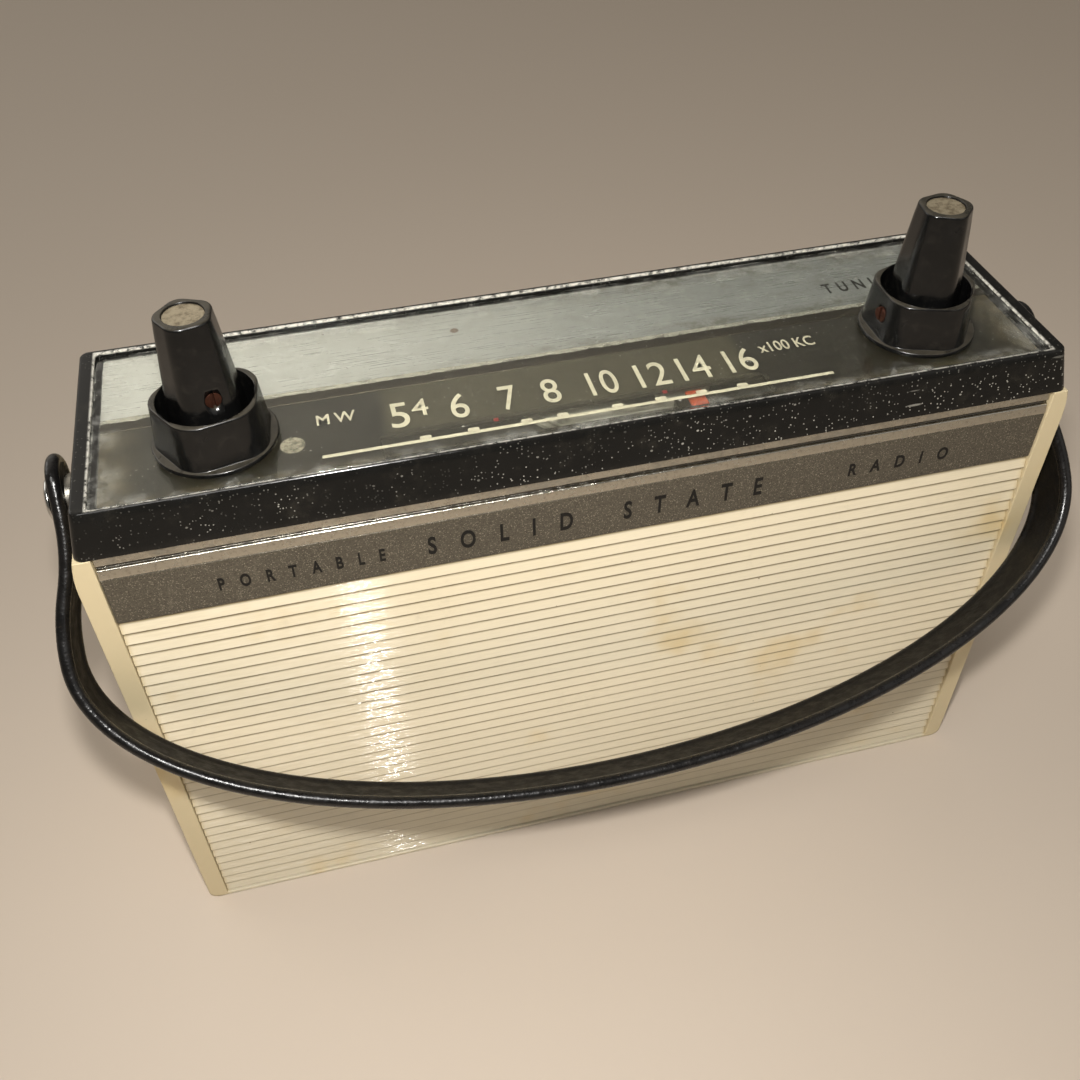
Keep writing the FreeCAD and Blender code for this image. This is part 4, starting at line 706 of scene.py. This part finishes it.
def settle(piece):
    """Turn a piece's modifiers into its mesh."""
    bpy.context.view_layer.update()
    graph = bpy.context.evaluated_depsgraph_get()
    mesh = bpy.data.meshes.new_from_object(piece.evaluated_get(graph))
    piece.modifiers.clear()
    piece.data = mesh


def drill(piece, level, azimuth, start, end, radius):
    """Cut a radial hole into a knob for its set screw."""
    cutter = round_bar("cutter", [(start, radius), (end, radius)])
    cutter.matrix_world = Matrix.Translation((0, 0, level * MM)) @ Matrix.Rotation(
        math.radians(azimuth), 4, "Z")
    carve(piece, cutter)


RING_LIP, RING_LIP_TOP = 14.0, 155.6
RING_LOW, RING_TOP, RING_HEIGHT = 13.3, 12.2, 166.4
RING_BASE, RING_CORNER = 154.4, 6.5
CUP_RADIUS, CUP_FLOOR = 10.6, 157.4
CONE_BASE, CONE_TOP = 158.0, 187.0
CONE_LOW, CONE_LOW_CORNER = 9.3, 4.6
CONE_HIGH, CONE_HIGH_CORNER = 6.3, 3.4
INLAY_RADIUS, INLAY_SINK, INLAY_THICK = 4.4, 0.9, 0.5
SET_SCREW_RADIUS, CONE_SCREW_LEVEL, RING_SCREW_LEVEL = 1.82, 169.6, 161.2


def round_rows(radius_at, level_at, fillet, start, end):
    """Rows of a fillet on a round section, for knob_mesh."""
    return [(r, z, None) for r, z in corner_arc(radius_at, level_at, fillet, start, end)]


def ring_rows(bore):
    """Skirt ring from its underside up the outside, over the rim and down the cup."""
    rows = [(bore, RING_BASE, None), (bore + 0.8, RING_BASE, None)]
    rows += round_rows(RING_LIP - 0.35, RING_BASE + 0.35, 0.35, -90, 0)
    rows += round_rows(RING_LIP - 0.45, RING_LIP_TOP - 0.45, 0.45, 0, 90)
    rows += [(RING_LOW + 0.25, RING_LIP_TOP, RING_CORNER + 0.25),
             (RING_LOW + 0.07, RING_LIP_TOP + 0.07, RING_CORNER + 0.07),
             (RING_LOW, RING_LIP_TOP + 0.3, RING_CORNER)]
    for share in (0.25, 0.5, 0.75):
        level = RING_LIP_TOP + (RING_HEIGHT - 0.7 - RING_LIP_TOP) * share
        rows.append((RING_LOW + (RING_TOP - RING_LOW) * share, level, RING_CORNER))
    for r, z in corner_arc(RING_TOP - 0.6, RING_HEIGHT - 0.6, 0.6, 0, 90, 5):
        rows.append((r, z, RING_CORNER - (RING_TOP - r)))
    rows += round_rows(CUP_RADIUS + 0.3, RING_HEIGHT - 0.3, 0.3, 90, 180)
    rows += round_rows(CUP_RADIUS - 0.5, CUP_FLOOR + 0.5, 0.5, 0, -90)
    rows += [(bore, CUP_FLOOR, None)]
    return rows


def cone_rows(bore):
    """Tall knob from its bore, up the outside and into the recess of the inlay."""
    def corner_at(radius):
        share = (CONE_LOW - radius) / (CONE_LOW - CONE_HIGH)
        return CONE_LOW_CORNER + (CONE_HIGH_CORNER - CONE_LOW_CORNER) * share
    rows = [(bore, CONE_BASE, None), (bore + 0.6, CONE_BASE, None)]
    for r, z in corner_arc(CONE_LOW - 0.4, CONE_BASE + 0.4, 0.4, -90, 0):
        rows.append((r, z, CONE_LOW_CORNER - (CONE_LOW - r)))
    for step in range(1, 8):
        share = step / 8
        radius = CONE_LOW + (CONE_HIGH - CONE_LOW) * share
        rows.append((radius, CONE_BASE + (CONE_TOP - CONE_BASE) * share, corner_at(radius)))
    for r, z in corner_arc(CONE_HIGH - 0.7, CONE_TOP - 0.7, 0.7, 0, 90, 6):
        rows.append((r, z, CONE_HIGH_CORNER - (CONE_HIGH - r)))
    rows += round_rows(INLAY_RADIUS + 0.25, CONE_TOP - 0.25, 0.25, 90, 180)
    floor = CONE_TOP - INLAY_SINK - 0.05
    rows += [(INLAY_RADIUS, floor, None), (bore, floor, None)]
    return rows


def inlay_mesh(name):
    """Pale disc, slightly dished, with a softened edge."""
    low = CONE_TOP - INLAY_SINK
    high = low + INLAY_THICK
    edge = INLAY_RADIUS - 0.05
    profile = [(0.02, low), (edge, low)] + corner_arc(edge - 0.15, high - 0.15, 0.15, 0, 90)
    profile += [(edge - 0.6, high - 0.05), (edge * 0.5, high - 0.12), (0.02, high - 0.14)]
    bm = bmesh.new()
    closed_bar(bm, [[(r * MM * c, r * MM * s, z * MM) for c, s in circle(48)]
                    for r, z in profile])
    return mesh_of(name, bm)


def build_knobs():
    """Both concentric pairs with their inlays and drilled set screw holes.

    Each knob has its bore in mm, the way its first facet faces and the way its screw faces.
    """
    pairs = ((-1, ("volume_knob", 2.0, 247.0, 288.0), ("tone_ring", 3.0, 247.0, 60.0)),
             (1, ("tuning_knob", 3.0, 208.0, 30.0), ("tuning_skirt", 3.0, 215.0, 190.0)))
    for side, cone, ring in pairs:
        over_spindle = Matrix.Translation((side * KNOB_X, KNOB_Y, 0))
        for (node, bore, facet, screw), rows_of, level, start, end in (
                (cone, cone_rows, CONE_SCREW_LEVEL, 1.0, 12.0),
                (ring, ring_rows, RING_SCREW_LEVEL, CUP_RADIUS - 1, 16.0)):
            mesh = knob_mesh(f"{node}_look", math.radians(facet), rows_of(bore))
            piece = look_of(node, mesh, "knob_black")
            drill(piece, level, screw, start, end, SET_SCREW_RADIUS)
            piece.data.transform(over_spindle)
        inlay = f"{cone[0]}_inlay"
        mesh = inlay_mesh(f"{inlay}_look")
        mesh.transform(over_spindle)
        look_of(inlay, mesh, "pale_inlay")


# ---------------------------------------------------------------- top cap

CAP_HALF_X, CAP_HALF_Y, CAP_CORNER = 118.6, 33.4, 2.4
CAP_TOP_X, CAP_TOP_Y, CAP_TOP_CORNER = 116.6, 30.5, 2.0
CAP_FOOT, CAP_TOP = 143.0, 154.08
WINDOW_X, WINDOW_FRONT, WINDOW_BACK = 113.0, -29.6, 29.0
SEAT, PLATE_SEAT, CAP_ROOF = 152.0, 150.6, 149.4
PLATE_X, PLATE_FRONT, PLATE_BACK = 111.35, -28.15, 27.45
LEDGE_X, LEDGE_FRONT, LEDGE_BACK = 108.5, -25.6, 25.0
CAVITY_X, CAVITY_Y = 115.8, 29.9


def rounded_box_ring(x, front, back, corner, level, steps=6, flats=24):
    """Points round a rectangle with rounded corners, in metres."""
    centres = ((x - corner, back - corner, 0), (-x + corner, back - corner, 90),
               (-x + corner, front + corner, 180), (x - corner, front + corner, 270))
    points = []
    for index, (cx, cy, start) in enumerate(centres):
        for step in range(steps + 1):
            at = math.radians(start + 90 * step / steps)
            points.append(Vector((cx + corner * math.cos(at), cy + corner * math.sin(at), level)))
        nx, ny, after = centres[(index + 1) % 4]
        turn = math.radians(after)
        goal = Vector((nx + corner * math.cos(turn), ny + corner * math.sin(turn), level))
        last = points[-1]
        points += [last.lerp(goal, step / flats) for step in range(1, flats)]
    return [tuple(point * MM) for point in points]


def build_cap():
    """Glossy cap: leaning walls, a rounded rim, and stepped seats for window and plates."""
    rows = []

    def row(x, front, back, corner, level):
        rows.append(rounded_box_ring(x, front, back, corner, level))

    def wall(share, inset=0.0):
        x = CAP_HALF_X + (CAP_TOP_X - CAP_HALF_X) * share
        y = CAP_HALF_Y + (CAP_TOP_Y - CAP_HALF_Y) * share
        corner = CAP_CORNER + (CAP_TOP_CORNER - CAP_CORNER) * share
        level = CAP_FOOT + (CAP_TOP - CAP_FOOT) * share
        return x - inset, -y + inset, y - inset, max(corner - inset * 0.5, 0.3), level

    for r, z in corner_arc(0, 0, 0.35, -90, 0, 3):
        x, front, back, corner, _ = wall((z + 0.35) / (CAP_TOP - CAP_FOOT), 0.35 - r)
        row(x, front, back, corner, CAP_FOOT + 0.35 + z)
    for step in range(1, 8):
        row(*wall(0.05 + 0.83 * step / 8))
    fillet = 0.7
    for r, z in corner_arc(0, 0, fillet, 14, 90, 5):
        x, front, back, corner, _ = wall(1 - (fillet - z) / (CAP_TOP - CAP_FOOT), fillet - r)
        row(x, front, back, corner, CAP_TOP - fillet + z)
    for r, z in corner_arc(0, 0, 0.3, 90, 180, 3):
        out = 0.3 + r
        row(WINDOW_X + out, WINDOW_FRONT - out, WINDOW_BACK + out, 1.2 + out, CAP_TOP - 0.3 + z)
    row(WINDOW_X, WINDOW_FRONT, WINDOW_BACK, 1.2, SEAT + 0.1)
    row(WINDOW_X - 0.1, WINDOW_FRONT + 0.1, WINDOW_BACK - 0.1, 1.1, SEAT)
    row(PLATE_X + 0.1, PLATE_FRONT - 0.1, PLATE_BACK + 0.1, 1.0, SEAT)
    row(PLATE_X, PLATE_FRONT, PLATE_BACK, 0.9, SEAT - 0.1)
    row(PLATE_X, PLATE_FRONT, PLATE_BACK, 0.9, PLATE_SEAT)
    row(LEDGE_X, LEDGE_FRONT, LEDGE_BACK, 0.8, PLATE_SEAT)
    row(LEDGE_X, LEDGE_FRONT, LEDGE_BACK, 0.8, CAP_ROOF)
    row(CAVITY_X, -CAVITY_Y, CAVITY_Y, 1.0, CAP_ROOF)
    row(CAVITY_X, -CAVITY_Y, CAVITY_Y, 1.0, CAP_FOOT)
    bm = bmesh.new()
    loops(bm, rows)
    bmesh.ops.remove_doubles(bm, verts=bm.verts, dist=0.0005 * MM)
    crease_flats(look_of("top_cap", mesh_of("top_cap_look", bm), "black_plastic"))


LENS_X, LENS_FRONT, LENS_BACK = 112.9, -29.5, 28.9
LENS_TOP, LENS_BEVEL, LENS_BACK_TOP = 153.9, 21.7, 152.62
SHAFT_HOLE, HOLE_FRAME = 5.2, 7


def build_lens():
    """Clear window with its sloping back edge and the two shaft holes."""
    profile = [(LENS_FRONT, SEAT), (LENS_BACK, SEAT), (LENS_BACK, LENS_BACK_TOP),
               (LENS_BEVEL, LENS_TOP), (LENS_FRONT, LENS_TOP)]
    bm = bmesh.new()
    closed_bar(bm, [[(x * MM, y * MM, z * MM) for y, z in profile] for x in (-LENS_X, LENS_X)])
    piece = look_of("dial_lens", mesh_of("dial_lens_look", bm), "clear_acrylic")
    soften(piece, 0.3)
    settle(piece)
    bm = bmesh.new()
    bm.from_mesh(piece.data)
    knob_x, knob_y = KNOB_X / MM, KNOB_Y / MM
    for side in (-1, 1):
        for edge in (-HOLE_FRAME, HOLE_FRAME):
            cut_plane(bm, (side * knob_x + edge, 0, 0), (1, 0, 0))
    for edge in (-HOLE_FRAME, HOLE_FRAME):
        cut_plane(bm, (0, knob_y + edge, 0), (0, 1, 0))
    bm.to_mesh(piece.data)
    bm.free()
    for side in (-1, 1):
        cutter = round_bar("cutter", [(SEAT - 2, SHAFT_HOLE), (LENS_TOP + 2, SHAFT_HOLE)])
        cutter.matrix_world = Matrix.Translation((side * KNOB_X, KNOB_Y, 0)) @ Matrix.Rotation(
            -math.pi / 2, 4, "Y")
        carve(piece, cutter)
    crease_flats(piece, 5)


def cut_plane(bm, point, normal):
    """Split every face a plane crosses."""
    bmesh.ops.bisect_plane(bm, geom=bm.verts[:] + bm.edges[:] + bm.faces[:], dist=1e-7,
                           plane_co=Vector(point) * MM, plane_no=normal)


def crease_flats(piece, angle=28.0):
    """Keep edges sharper than the angle crisp in the shading."""
    mesh = piece.data
    bm = bmesh.new()
    bm.from_mesh(mesh)
    for edge in bm.edges:
        if len(edge.link_faces) == 2:
            edge.smooth = edge.calc_face_angle(0.0) < math.radians(angle)
    bm.to_mesh(mesh)
    bm.free()


# ---------------------------------------------------------------- strap

PIVOT = Vector((0, -5.0, 138.5)) * MM
STRAP_TILT = math.radians(38.5)
STRAP_HALF = 7.5
TAB_X, TAB_LENGTH, TAB_END = 123.4, 5.0, 10.5
LOOP_WIDTH, LOOP_DEPTH, LOOP_CENTRE = 128.6, 55.0, 38.0
BEAD, WEB = 1.6, 1.0


def strap_line():
    """Points (x, s) along the strap's middle, from the left pivot round to the right one."""
    side = []
    tab_round = 10
    for step in range(tab_round + 1):
        swing = math.pi / 2 * (1 - step / tab_round)
        side.append((TAB_X, -(TAB_END - STRAP_HALF) - STRAP_HALF * math.sin(swing)))
    side.append((TAB_X, 0.0))
    side.append((TAB_X, TAB_LENGTH))
    run, rise = LOOP_CENTRE - TAB_LENGTH, LOOP_WIDTH - TAB_X
    radius = (run * run + rise * rise) / (4 * rise)
    sweep = 2 * math.atan2(rise, run)
    for step in range(1, 9):
        turn = sweep * step / 8
        side.append((TAB_X + radius * (1 - math.cos(turn)), TAB_LENGTH + radius * math.sin(turn)))
    for step in range(7, -1, -1):
        turn = sweep * step / 8
        side.append((LOOP_WIDTH - radius * (1 - math.cos(turn)),
                     LOOP_CENTRE - radius * math.sin(turn)))
    bottom = []
    count = 120
    for step in range(1, count):
        turn = math.pi * step / count
        bottom.append((-LOOP_WIDTH * math.cos(turn), LOOP_CENTRE + LOOP_DEPTH * math.sin(turn)))
    left = [(-x, s) for x, s in side]
    right = list(reversed(side))
    return left + bottom + right


def strap_point(x, s, off):
    """World place of a point x across, s down the strap's plane and off to its front."""
    return Vector((x * MM, PIVOT.y - (s * math.sin(STRAP_TILT) + off * math.cos(STRAP_TILT)) * MM,
                   PIVOT.z + (off * math.sin(STRAP_TILT) - s * math.cos(STRAP_TILT)) * MM))


def half_thickness(edge):
    """Half the strap's thickness at a distance in from its outline: bead, then web."""
    if edge < BEAD:
        return math.sqrt(max(BEAD * BEAD - (BEAD - edge) ** 2, 0.0))
    share = min((edge - BEAD) / 1.7, 1.0)
    ease = share * share * (3 - 2 * share)
    return BEAD + (WEB - BEAD) * ease


def build_strap():
    """One bent strap with a raised bead round its whole outline."""
    line = strap_line()
    last = len(line) - 1
    columns = [-math.cos(math.pi * k / 36) for k in range(37)]
    fronts, backs, marks = [], [], []
    for index, (x, s) in enumerate(line):
        before, after = line[max(index - 1, 0)], line[min(index + 1, last)]
        along = Vector((after[0] - before[0], after[1] - before[1])).normalized()
        out = Vector((along.y, -along.x))
        tab = -(TAB_END - STRAP_HALF)
        wide = STRAP_HALF
        if s < tab:
            wide = math.sqrt(max(STRAP_HALF ** 2 - (s - tab) ** 2, 0.0))
        front, back, mark = [], [], []
        for column in columns:
            off = column * wide
            edge = STRAP_HALF - (math.hypot(off, s - tab) if s < tab else abs(off))
            half = half_thickness(max(edge, 0.0))
            front.append(strap_point(x + out.x * half, s + out.y * half, off))
            back.append(strap_point(x - out.x * half, s - out.y * half, off))
            mark.append(edge)
        fronts.append(front)
        backs.append(back)
        marks.append(mark)
    bm = bmesh.new()
    for side in (fronts, backs):
        grid = [[bm.verts.new(point) for point in row] for row in side]
        for i in range(last):
            for k in range(len(columns) - 1):
                face = bm.faces.new((grid[i][k], grid[i + 1][k], grid[i + 1][k + 1],
                                     grid[i][k + 1]))
                mean = (marks[i][k] + marks[i + 1][k] + marks[i + 1][k + 1] + marks[i][k + 1]) / 4
                face.material_index = 1 if mean < 2.3 else 0
    bmesh.ops.remove_doubles(bm, verts=bm.verts, dist=0.01 * MM)
    mesh = mesh_of("handle_strap_look", bm)
    piece_of("handle_strap_look", mesh, [finish("strap_leather"), finish("strap_bead")],
             "handle", ["handle_strap"])


def build_rivets():
    """Domed rivet heads outside the strap, with a turned step round the dome."""
    profile = [(0.02, 123.0), (2.4, 123.0), (2.4, 125.25), (5.4, 125.25)]
    profile += corner_arc(5.4, 125.45, 0.2, -90, 0, 2)
    profile += [(5.45, 125.85), (5.0, 126.15), (4.2, 126.42), (3.2, 126.66), (2.2, 126.80),
                (1.2, 126.88), (0.02, 126.9)]
    bm = bmesh.new()
    for side in (-1, 1):
        closed_bar(bm, [[(side * out * MM, PIVOT.y + r * MM * c, PIVOT.z + r * MM * s)
                         for c, s in circle(48)] for r, out in profile])
    look_of("handle_rivets", mesh_of("handle_rivets_look", bm), "chrome")


# ---------------------------------------------------------------- print

def lettering(name, words, box, level, ink, spacing=1.0, weight=0.0, flat=True,
              thick=PRINT_THICK):
    """Words as a thin mesh that fills box = (x0, y0, x1, y1) in mm, flat or on the front."""
    curve = bpy.data.curves.new(name, "FONT")
    curve.body = words
    curve.size = 1.0
    curve.extrude = 0.5
    curve.offset = weight
    curve.space_character = spacing
    curve.resolution_u = 5
    source = bpy.data.objects.new(name, curve)
    scene.collection.objects.link(source)
    bpy.context.view_layer.update()
    graph = bpy.context.evaluated_depsgraph_get()
    mesh = bpy.data.meshes.new_from_object(source.evaluated_get(graph))
    bpy.data.objects.remove(source)
    points = [vertex.co for vertex in mesh.vertices]
    low = Vector([min(p[i] for p in points) for i in range(3)])
    high = Vector([max(p[i] for p in points) for i in range(3)])
    x0, y0, x1, y1 = (value * MM for value in box)
    for vertex in mesh.vertices:
        across = x0 + (vertex.co.x - low.x) / (high.x - low.x) * (x1 - x0)
        along = y0 + (vertex.co.y - low.y) / (high.y - low.y) * (y1 - y0)
        deep = (vertex.co.z - low.z) / (high.z - low.z) * thick
        if flat:
            vertex.co = (across, along, level + deep)
        else:
            vertex.co = (across, level - deep, along)
    mesh.materials.clear()
    bm = bmesh.new()
    bm.from_mesh(mesh)
    bmesh.ops.remove_doubles(bm, verts=bm.verts, dist=0.0005 * MM)
    piece_of(name, mesh_of(name, bm), [finish(ink)], "cabinet", (), smooth=False)


def bars(name, boxes, level, ink):
    """Thin printed marks with clipped corners, one mesh."""
    bm = bmesh.new()
    for x0, y0, x1, y1 in boxes:
        clip = min(x1 - x0, y1 - y0) * 0.18
        outline = [(x0 + clip, y0), (x1 - clip, y0), (x1, y0 + clip), (x1, y1 - clip),
                   (x1 - clip, y1), (x0 + clip, y1), (x0, y1 - clip), (x0, y0 + clip)]
        closed_bar(bm, [[(x * MM, y * MM, level + up) for x, y in outline]
                        for up in (0, PRINT_THICK)])
    piece_of(name, mesh_of(name, bm), [finish(ink)], "cabinet", (), smooth=False)


def build_print():
    """Numbers and marks on the window's underside, words on the silver panel and the trim."""
    numbers = (("5", -46.4, -42.0), ("6", -32.3, -28.1), ("7", -20.4, -16.4), ("8", -10.4, -6.2),
               ("10", 1.0, 8.0), ("12", 13.0, 20.6), ("14", 23.6, 31.2), ("16", 35.6, 42.9))
    dial = [(f"dial_number_{digits}", digits, (x0, NUMBER_FOOT, x1, NUMBER_TOP), 1.0, 0.004)
            for digits, x0, x1 in numbers]
    dial += [("dial_number_4", "4", (-41.2, -14.4, -37.3, -8.2), 1.0, 0.004),
             ("dial_band_name", "MW", (-63.0, -12.1, -54.0, -8.3), 1.4, 0.01),
             ("dial_unit", "x100 KC", (45.2, -11.6, 59.6, -7.6), 1.0, 0.008)]
    for name, words, box, spacing, weight in dial:
        lettering(name, words, box, PRINT_LEVEL, "print_white", spacing, weight)
    marks = [(-63.0, -24.0, 58.8, -23.0)]
    for x in (-39.7, -28.7, -16.3, -7.8, 5.3, 15.8, 25.8, 36.0):
        marks.append((x - 1.3, -23.1, x + 1.3, -21.9))
    bars("dial_scale", marks, PRINT_LEVEL, "print_white")
    bars("dial_red_marks", [(-23.6, -21.0, -22.4, -19.8), (16.9, -21.0, 18.1, -19.8)],
         PRINT_LEVEL, "print_red")
    # painted fill: a brown veil over the slot in place of the shade inside it
    bars("dial_slot_painted_fill", [(-50.2, -28.0, 43.2, -18.6)], PRINT_LEVEL - 0.08 * MM, "slot_painted_fill")
    lettering("tuning_word", "TUNING", (71.8, 9.1, 95.0, 13.7), SILVER_HIGH.z, "print_black",
              1.8, 0.02, thick=0.06 * MM)
    band = (("left", "PORTABLE", (-91.0, 126.9, -53.0, 130.9), 3.2, 0.03),
            ("middle", "SOLID STATE", (-43.0, 126.2, 40.0, 131.9), 3.4, 0.025),
            ("right", "RADIO", (63.0, 126.9, 90.0, 130.9), 3.2, 0.03))
    for side, words, box, spacing, weight in band:
        lettering(f"band_word_{side}", words, box, BAND_LOW.y, "print_black",
                  spacing, weight, flat=False, thick=0.08 * MM)


# ---------------------------------------------------------------- build

def build_shell():
    """Cabinet, front, trim, screws, socket and pointer from the CAD shapes, with rounded edges.
    """
    rounded_copy("front_case", "ivory_plastic", width=0.6)
    rounded_copy("rear_cover", "ivory_plastic", width=0.5)
    rounded_copy("front_grille_panel", "ivory_plastic", finish("ivory_ribs"), width=0.22,
                 angle=20)
    rounded_copy("trim_band", "taupe_anodised", width=0.15)
    rounded_copy("bright_moulding", "bright_metal", width=0.2, angle=12)
    rounded_copy("step_strip", "bright_metal", finish("step_edge"), width=0.15)
    rounded_copy("cover_screw", "nickel_steel", width=0.2)
    rounded_copy("earphone_socket", "dark_plastic", width=0.2)
    rounded_copy("dial_pointer", "pointer_orange", width=0.1)
    for node in ("volume_set_screw", "tone_set_screw", "tuning_set_screws"):
        rounded_copy(node, "tarnished_brass", width=0.08, segments=2)


def paint_carried():
    """Give every CAD node that stays in view the finish of its slot."""
    for node, piece in nodes.items():
        if piece.hide_render:
            continue
        for slot in piece.material_slots:
            slot.material = finish(slot.material.name)


def build_cloth():
    """Speaker cloth stretched behind the slots, bowed back a little in the middle."""
    low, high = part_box("grille_cloth")
    count = 60
    bm = bmesh.new()
    sheets = []
    for y in (low.y, high.y):
        grid = []
        for i in range(count + 1):
            row = []
            for k in range(count + 1):
                x = low.x + (high.x - low.x) * i / count
                z = low.z + (high.z - low.z) * k / count
                dip = 0.15 * MM * math.sin(math.pi * i / count) * math.sin(math.pi * k / count)
                row.append(bm.verts.new((x, y + dip * 0.3, z)))
            grid.append(row)
        grid_faces(bm, grid)
        sheets.append(grid)
    front, back = sheets
    for i in range(count):
        for a, b in (((i, 0), (i + 1, 0)), ((i, count), (i + 1, count)),
                     ((0, i), (0, i + 1)), ((count, i), (count, i + 1))):
            bm.faces.new((front[a[0]][a[1]], front[b[0]][b[1]], back[b[0]][b[1]],
                          back[a[0]][a[1]]))
    piece = look_of("grille_cloth", mesh_of("grille_cloth_look", bm), "black_cloth")


build_shell()
build_cap()
build_lens()
build_knobs()
build_strap()
build_rivets()
build_print()
build_cloth()
paint_carried()


# ---------------------------------------------------------------- stage

GLOW_TOWARDS = (-0.42, 0.70, 0.58)
WORLD_LOW, WORLD_GLOW = 0.16, 0.85
FLOOR_REACH, FLOOR_STEPS = 4.0, 16
WARM, WARMER = (1.0, 0.98, 0.95), (1.0, 0.97, 0.93)
# name, place, what it is aimed at, width, height, power and colour, in metres and watts
LAMPS = (
    ("key", (-0.30, -0.62, 1.25), (0.0, 0.0, 0.08), 0.5, 0.4, 4.4, WARM),
    ("fill", (0.9, -0.9, 0.8), (0.0, 0.0, 0.08), 1.2, 1.0, 1.5, WARMER),
    ("near", (-0.060, -0.200, 0.345), (-0.01, -0.03, 0.08), 0.016, 0.016, 1.0, WARM),
    ("rear", (-1.5, 1.0, 0.9), (0.0, 0.0, 0.06), 1.0, 0.8, 3.0, WARM),
)
CAMERA_PLACE = (-60.53, -220.14, 312.15)
CAMERA_FORWARD = (0.16493, 0.69662, -0.69822)
CAMERA_UP = (0.17821, 0.67522, 0.71577)
CAMERA_LENS = 37.4


def light_the_world():
    """Even pale surroundings with one broad soft glow behind and to the left."""
    world = bpy.data.worlds.new("studio")
    world.use_nodes = True
    tree = world.node_tree
    background = tree.nodes["Background"]
    background.inputs["Color"].default_value = linear(222, 216, 206)
    towards = tree.nodes.new("ShaderNodeVectorMath")
    towards.operation = "DOT_PRODUCT"
    towards.inputs[1].default_value = Vector(GLOW_TOWARDS).normalized()
    tree.links.new(tree.nodes.new("ShaderNodeTexCoord").outputs["Generated"], towards.inputs[0])
    glow = tree.nodes.new("ShaderNodeMapRange")
    glow.interpolation_type = "SMOOTHERSTEP"
    for socket, value in (("From Min", 0.55), ("From Max", 1.0), ("To Min", WORLD_LOW),
                          ("To Max", WORLD_GLOW)):
        glow.inputs[socket].default_value = value
    tree.links.new(towards.outputs["Value"], glow.inputs["Value"])
    tree.links.new(glow.outputs["Result"], background.inputs["Strength"])
    scene.world = world


def build_floor():
    """Plain pale floor."""
    bm = bmesh.new()
    ticks = [-FLOOR_REACH + 2 * FLOOR_REACH * i / FLOOR_STEPS for i in range(FLOOR_STEPS + 1)]
    grid_faces(bm, [[bm.verts.new((x, y, 0)) for y in ticks] for x in ticks])
    f = Finish("floor_paint", (206, 192, 176), 0.75)
    f.set("Base Color", f.mix(f.noise(600, 2), (209, 195, 179), (202, 187, 170)))
    mesh = bpy.data.meshes.new("floor")
    bm.to_mesh(mesh)
    bm.free()
    mesh.materials.append(f.material)
    floor = bpy.data.objects.new("floor", mesh)
    scene.collection.objects.link(floor)


def build_lamps():
    """Soft lamps that the camera doesn't see."""
    for name, place, aim, wide, high, power, colour in LAMPS:
        data = bpy.data.lights.new(name, "AREA")
        data.shape = "RECTANGLE"
        data.size, data.size_y = wide, high
        data.energy = power
        data.color = colour
        lamp = bpy.data.objects.new(name, data)
        lamp.location = place
        lamp.visible_camera = False
        lamp.rotation_mode = "QUATERNION"
        lamp.rotation_quaternion = (Vector(aim) - Vector(place)).to_track_quat("-Z", "Y")
        scene.collection.objects.link(lamp)


def build_camera():
    """The camera at the photograph's angle."""
    forward = Vector(CAMERA_FORWARD).normalized()
    right = forward.cross(Vector(CAMERA_UP).normalized()).normalized()
    up = right.cross(forward).normalized()
    data = bpy.data.cameras.new("photo_angle")
    data.lens = CAMERA_LENS
    data.sensor_width = 36.0
    data.clip_start, data.clip_end = 0.01, 50.0
    camera = bpy.data.objects.new("photo_angle", data)
    camera.matrix_world = Matrix.Translation(Vector(CAMERA_PLACE) * MM) @ Matrix((
        (right.x, up.x, -forward.x), (right.y, up.y, -forward.y),
        (right.z, up.z, -forward.z))).to_4x4()
    scene.collection.objects.link(camera)
    scene.camera = camera
    scene.view_settings.view_transform = "Standard"


build_floor()
build_lamps()
light_the_world()
build_camera()

bpy.context.view_layer.update()
